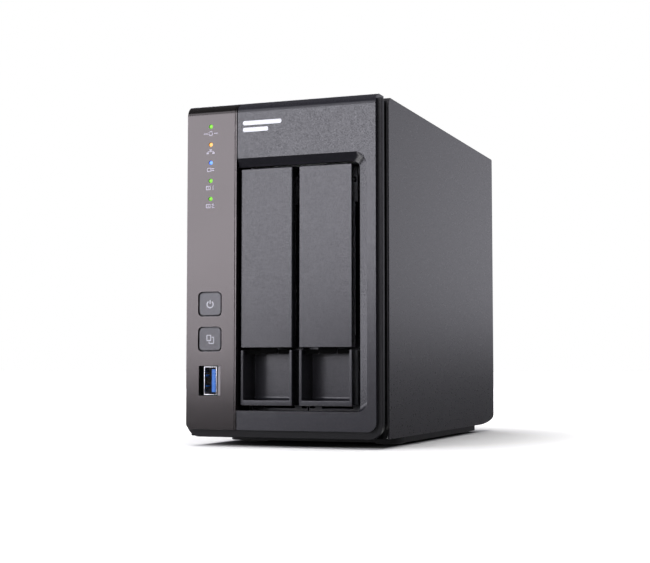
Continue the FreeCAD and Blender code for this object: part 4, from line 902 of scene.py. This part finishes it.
def rear_symbols():
    """Plain signs beside the rear sockets: network 1 and 2, screen, plugs, power and reset."""
    bm = bmesh.new()
    line = 0.4 * MM
    ink = (-INK, INK)
    beside = BOARD_X + 4.2 * MM
    for number, height in enumerate(LAN_HEIGHTS, start=1):
        draw_digit(bm, rear_frame_at(beside, height, PANEL_FACE), 0, number, line, ink)
    place = rear_frame_at(beside, SCREEN_HEIGHT, PANEL_FACE)
    box_line(bm, place, 0, 0.3 * MM, 3.6 * MM, 2.4 * MM, 0.3 * MM, line, *ink)
    bar(bm, place, (-0.9 * MM, -1.5 * MM), (0.9 * MM, -1.5 * MM), line, *ink)
    for height in USB_HEIGHTS:
        draw_plug(bm, rear_frame_at(beside, height, PANEL_FACE), line, ink)
    place = rear_frame_at(beside, POWER_HEIGHT, PANEL_FACE)
    ring(bm, place, 0, 0, 1.5 * MM, line, *ink, start=40, end=320)
    disc(bm, place, 0, 0, 0.5 * MM, *ink, 14)
    bar(bm, place, (0.3 * MM, 0), (2.4 * MM, 0), line, *ink)
    place = rear_frame_at(middle_of("reset_button").x, RESET_HEIGHT, PANEL_FACE)
    ring(bm, place, 0, 0, 2.6 * MM, line, *ink)
    make_piece("rear_symbols", bm, "grey_ink_glowing", "case")


def fan_sticker():
    """A plain round sticker on the hub of the fan, with two printed rings."""
    fan_height = 82 * MM
    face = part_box("fan_rotor")[1].y
    place = rear_frame_at(middle_of("fan_rotor").x, fan_height, face)
    sticker = bmesh.new()
    disc(sticker, place, 0, 0, 10.5 * MM, -0.05 * MM, 0.08 * MM, 48)
    make_piece("fan_sticker", sticker, "label", "fan_rotor")
    rings = bmesh.new()
    ring(rings, place, 0, 0, 8.6 * MM, 0.5 * MM, 0, 0.1 * MM)
    ring(rings, place, 0, 0, 5.4 * MM, 0.3 * MM, 0, 0.1 * MM)
    make_piece("fan_sticker_rings", rings, "cable", "fan_rotor")


lan_details()
rear_usb_contacts()
rear_symbols()
fan_sticker()


# ---------------------------------------------------------------- drives

def chip_legs(side, face):
    """Short legs along two edges of each square chip on a drive's board."""
    corners_and_sizes = ((-30, 50, 14), (-8, 74, 10), (12, 48, 8), (14, 88, 12))
    leg_pitch = 1.25
    leg_half_wide = 0.25
    leg_long = 0.6
    bm = bmesh.new()
    for y, z, size in corners_and_sizes:
        count = int(size / leg_pitch)
        for number in range(count):
            middle = z + (number + 0.5) * size / count
            for edge in (y - 0.7, y + size + 0.1):
                soft_box(bm, (face, edge * MM, (middle - leg_half_wide) * MM),
                         (face + 0.25 * MM, (edge + leg_long) * MM, (middle + leg_half_wide) * MM),
                         0.05 * MM, 1)
    make_piece("chip_legs_" + side, bm, "nickel", "tray_" + side)


def small_parts(side, face):
    """Rows of six small blocks, in turn narrow and wide."""
    row_starts = ((-36, 40), (-12, 62), (4, 100), (24, 66), (-30, 92))
    pitch = 2.6
    narrow, wider = 1.0, 1.6
    bm = bmesh.new()
    for row, (y, z) in enumerate(row_starts):
        for number in range(6):
            wide = wider if (row + number) % 2 else narrow
            near = y + number * pitch
            soft_box(bm, (face, near * MM, z * MM),
                     (face + 0.7 * MM, (near + wide) * MM, (z + 2.0) * MM), 0.1 * MM, 1)
    make_piece("small_parts_" + side, bm, "bronze", "tray_" + side)


def test_pads(side, face):
    """Three rows of eight round gold pads."""
    first_y, first_z = -34, 108
    pitch, row_pitch = 4.5, 3.4
    bm = bmesh.new()
    place = frame_of((face, 0, 0), (0, 1, 0), (0, 0, 1))
    for row in range(3):
        for number in range(8):
            disc(bm, place, (first_y + number * pitch) * MM, (first_z + row * row_pitch) * MM,
                 0.6 * MM, 0, 0.03 * MM, 12)
    make_piece("test_pads_" + side, bm, "gold", "tray_" + side)


def drive_electronics(side):
    """Small parts on the board of a drive; the drive's plug stands proud of the board's face."""
    plug_proud = 1.5 * MM
    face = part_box("drive_board_" + side)[1].x - plug_proud
    chip_legs(side, face)
    small_parts(side, face)
    test_pads(side, face)


def lid_details(side):
    """The lid of a drive: a raised disc over the spindle, a plain label and six screws."""
    body = "tray_" + side
    place = frame_of((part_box("drive_lid_" + side)[0].x, 0, 0), (0, -1, 0), (0, 0, 1))
    sunk = -0.05 * MM
    middle_z = 77 * MM
    screw_spots = ((78, 34), (78, 120), (14, 33), (14, 121.5), (-50, 34), (-50, 120))
    emboss = bmesh.new()
    hub = place @ Matrix.Translation((22 * MM, middle_z, 0))
    lathe(emboss, hub, [(0, 0.35 * MM), (9 * MM, 0.35 * MM), (10 * MM, 0.1 * MM),
                        (10.4 * MM, sunk)], 48)
    lathe(emboss, hub, [(38 * MM, sunk), (38.6 * MM, 0.3 * MM), (40 * MM, 0.3 * MM),
                        (40.6 * MM, sunk)], 64)
    make_piece("lid_emboss_" + side, emboss, "lid", body)
    label = bmesh.new()
    slab(label, place, round_box(-22 * MM, middle_z, 46 * MM, 72 * MM, 2 * MM), 0, 0.12 * MM)
    make_piece("plain_label_" + side, label, "label", body)
    screws = bmesh.new()
    for u, v in screw_spots:
        spot = place @ Matrix.Translation((u * MM, v * MM, 0))
        lathe(screws, spot, [(0, 0.1 * MM), (1.0 * MM, 0.1 * MM), (1.2 * MM, 0.45 * MM),
                             (2.2 * MM, 0.4 * MM), (2.5 * MM, sunk)], 20)
    make_piece("lid_screws_" + side, screws, "nickel", body)


for bay in ("left", "right"):
    drive_electronics(bay)
    lid_details(bay)


# ---------------------------------------------------------------- stage

FLOOR_HALF = 12.0
FLOOR_NEAR = 0.09  # from here to FLOOR_FAR the floor turns to plain white
FLOOR_FAR = 0.36
FLOOR_DARK = (0.02, 0.02, 0.021)  # what the object mirrors of the floor
FLOOR_MIRRORED = 1.6  # the same, for views from well above
UNDER_HALF_WIDE = 46.5 * MM  # painted shadow: the dark rectangle on the floor that the case shades completely
UNDER_HALF_LONG = 89 * MM
UNDER_MIDDLE = -6 * MM
UNDER_SHADOW_COLOUR = (0.004, 0.004, 0.004)
AIR_COLOUR = (0.96, 0.95, 1.05)
AIR_HORIZON = 0.10
AIR_LOW = 0.77
AIR_BEHIND_CAMERA = 0.35
AIR_HIGH = 0.12
LIGHT_COLOUR = (0.92, 0.91, 1.0)


def shadow_under_case_mask(finish):
    """A mask that is 1 on the floor under the case, for a painted shadow."""
    spot = finish.axes(finish.place)
    beside = finish.math("SUBTRACT", finish.math("ABSOLUTE", spot["X"], 0), UNDER_HALF_WIDE)
    along = finish.math("ABSOLUTE", finish.math("SUBTRACT", spot["Y"], UNDER_MIDDLE), 0)
    beyond = finish.math("SUBTRACT", along, UNDER_HALF_LONG)
    return finish.ramp(finish.math("MAXIMUM", beside, beyond), 2 * MM, 0)


def slanting_rays(finish):
    """A mask that is 1 for rays that meet the floor at a slant, towards +X +Y or -X -Y."""
    ray = finish.axes(finish.nodes.new("ShaderNodeNewGeometry").outputs["Incoming"])
    slant = finish.math("MULTIPLY", finish.ramp(ray["Z"], 0.17, 0.28), finish.ramp(ray["Z"], 0.60, 0.50))
    across = finish.math("SUBTRACT", ray["X"], ray["Y"])
    return finish.math("MULTIPLY", slant, finish.ramp(across, 0.75, 0.45))


def floor():
    """A pale floor, white in the distance, with a painted shadow under the case; it bounces little light
    on to the object.
    """
    bm = bmesh.new()
    bmesh.ops.create_grid(bm, x_segments=1, y_segments=1, size=FLOOR_HALF)
    mesh = bpy.data.meshes.new("studio_floor")
    bm.to_mesh(mesh)
    bm.free()
    piece = bpy.data.objects.new("studio_floor", mesh)
    bpy.context.scene.collection.objects.link(piece)
    finish = Finish("studio_paper", (0.95, 0.945, 0.925), 0.9)
    finish.set("Specular IOR Level", 0.1)
    finish.vary(finish.noise(3 * MM, 2), 0.006)
    # painted shadow: the floor turns near-black under the case
    finish.blend(shadow_under_case_mask(finish), UNDER_SHADOW_COLOUR)
    length = finish.nodes.new("ShaderNodeVectorMath")
    length.operation = "LENGTH"
    finish.links.new(finish.place, length.inputs[0])
    far = finish.ramp(length.outputs["Value"], FLOOR_NEAR, FLOOR_FAR)
    rays = finish.nodes.new("ShaderNodeLightPath").outputs
    seen = rays["Is Camera Ray"]
    mirrored = finish.math("MULTIPLY", rays["Is Glossy Ray"], slanting_rays(finish))
    glow = finish.math("ADD", finish.math("MULTIPLY", far, seen),
                       finish.math("MULTIPLY", mirrored, FLOOR_MIRRORED))
    finish.set("Emission Color", (1, 1, 1, 1))
    finish.links.new(glow, finish.surface.inputs["Emission Strength"])
    hidden = finish.math("SUBTRACT", 1.0, finish.math("MAXIMUM", seen, mirrored))
    finish.blend(hidden, FLOOR_DARK)
    mesh.materials.append(finish.done())


def area_light(name, place, target, wide, high, power):
    data = bpy.data.lights.new(name, "AREA")
    data.shape = "RECTANGLE"
    data.size = wide
    data.size_y = high
    data.energy = power
    data.color = LIGHT_COLOUR
    lamp = bpy.data.objects.new(name, data)
    lamp.location = place
    lamp.rotation_euler = (Vector(target) - Vector(place)).to_track_quat("-Z", "Y").to_euler()
    bpy.context.scene.collection.objects.link(lamp)
    return lamp


def studio_air():
    """White where the camera looks; for the object, brightest just above the horizon."""
    world = bpy.data.worlds.new("studio_air")
    bpy.context.scene.world = world
    world.use_nodes = True
    nodes = world.node_tree.nodes
    links = world.node_tree.links
    split = nodes.new("ShaderNodeSeparateXYZ")
    links.new(nodes.new("ShaderNodeTexCoord").outputs["Generated"], split.inputs[0])

    def fade(axis, low, high, start, end):
        step = nodes.new("ShaderNodeMapRange")
        step.interpolation_type = "SMOOTHSTEP"
        for name, number in (("From Min", low), ("From Max", high), ("To Min", start), ("To Max", end)):
            step.inputs[name].default_value = number
        links.new(split.outputs[axis], step.inputs["Value"])
        return step.outputs["Result"]

    glow = nodes.new("ShaderNodeMath")
    glow.operation = "MINIMUM"
    links.new(fade("Z", 0.0, 0.04, AIR_HORIZON, AIR_LOW), glow.inputs[0])
    links.new(fade("Z", 0.05, 0.5, AIR_LOW, AIR_HIGH), glow.inputs[1])
    dimmed = nodes.new("ShaderNodeMath")
    dimmed.operation = "MULTIPLY"
    links.new(glow.outputs[0], dimmed.inputs[0])
    links.new(fade("Y", -0.4, 0.2, AIR_BEHIND_CAMERA, 1.0), dimmed.inputs[1])
    tint = nodes.new("ShaderNodeVectorMath")
    tint.operation = "SCALE"
    tint.inputs[0].default_value = AIR_COLOUR
    links.new(dimmed.outputs[0], tint.inputs["Scale"])
    pick = nodes.new("ShaderNodeMix")
    pick.data_type = "RGBA"
    links.new(nodes.new("ShaderNodeLightPath").outputs["Is Camera Ray"], pick.inputs["Factor"])
    links.new(tint.outputs[0], pick.inputs["A"])
    pick.inputs["B"].default_value = (1, 1, 1, 1)
    links.new(pick.outputs["Result"], nodes["Background"].inputs["Color"])


def studio():
    floor()
    studio_air()
    area_light("front_panel", (-0.62, -1.75, 0.56), (-0.05, 0, 0.50), 1.8, 0.84, 21)
    area_light("front_low", (-1.15, -1.75, 0.075), (-0.58, 0, 0.015), 0.86, 0.13, 1.5)
    area_light("front_high", (-0.62, -1.45, 1.22), (-0.05, 0, 0.15), 1.8, 0.5, 5)
    area_light("left_panel", (-1.50, -0.10, 0.36), (0, -0.10, 0.36), 1.5, 0.72, 9)
    area_light("right_panel", (1.75, -0.30, 0.55), (0, -0.10, 0.40), 1.2, 0.8, 6)
    area_light("rear_panel", (-0.90, 1.60, 0.60), (-0.10, 0, 0.40), 1.2, 0.8, 9)
    overhead = area_light("overhead", (-0.1, -0.1, 1.7), (0, 0, 0), 1.2, 1.2, 26)
    overhead.visible_glossy = False
    overhead.data.color = (1, 1, 1)
    bpy.context.scene.view_settings.view_transform = "Standard"


def camera():
    yaw = math.radians(20.93)
    pitch = math.radians(3.75)
    data = bpy.data.cameras.new("camera")
    data.sensor_width = 36
    data.lens = 73.3
    data.clip_start = 0.02
    data.clip_end = 20
    eye = bpy.data.objects.new("camera", data)
    eye.location = (0.247, -0.695, 0.038)
    forward = Vector((-math.sin(yaw) * math.cos(pitch), math.cos(yaw) * math.cos(pitch),
                      math.sin(pitch)))
    eye.rotation_euler = forward.to_track_quat("-Z", "Y").to_euler()
    bpy.context.scene.collection.objects.link(eye)
    bpy.context.scene.camera = eye


studio()
camera()
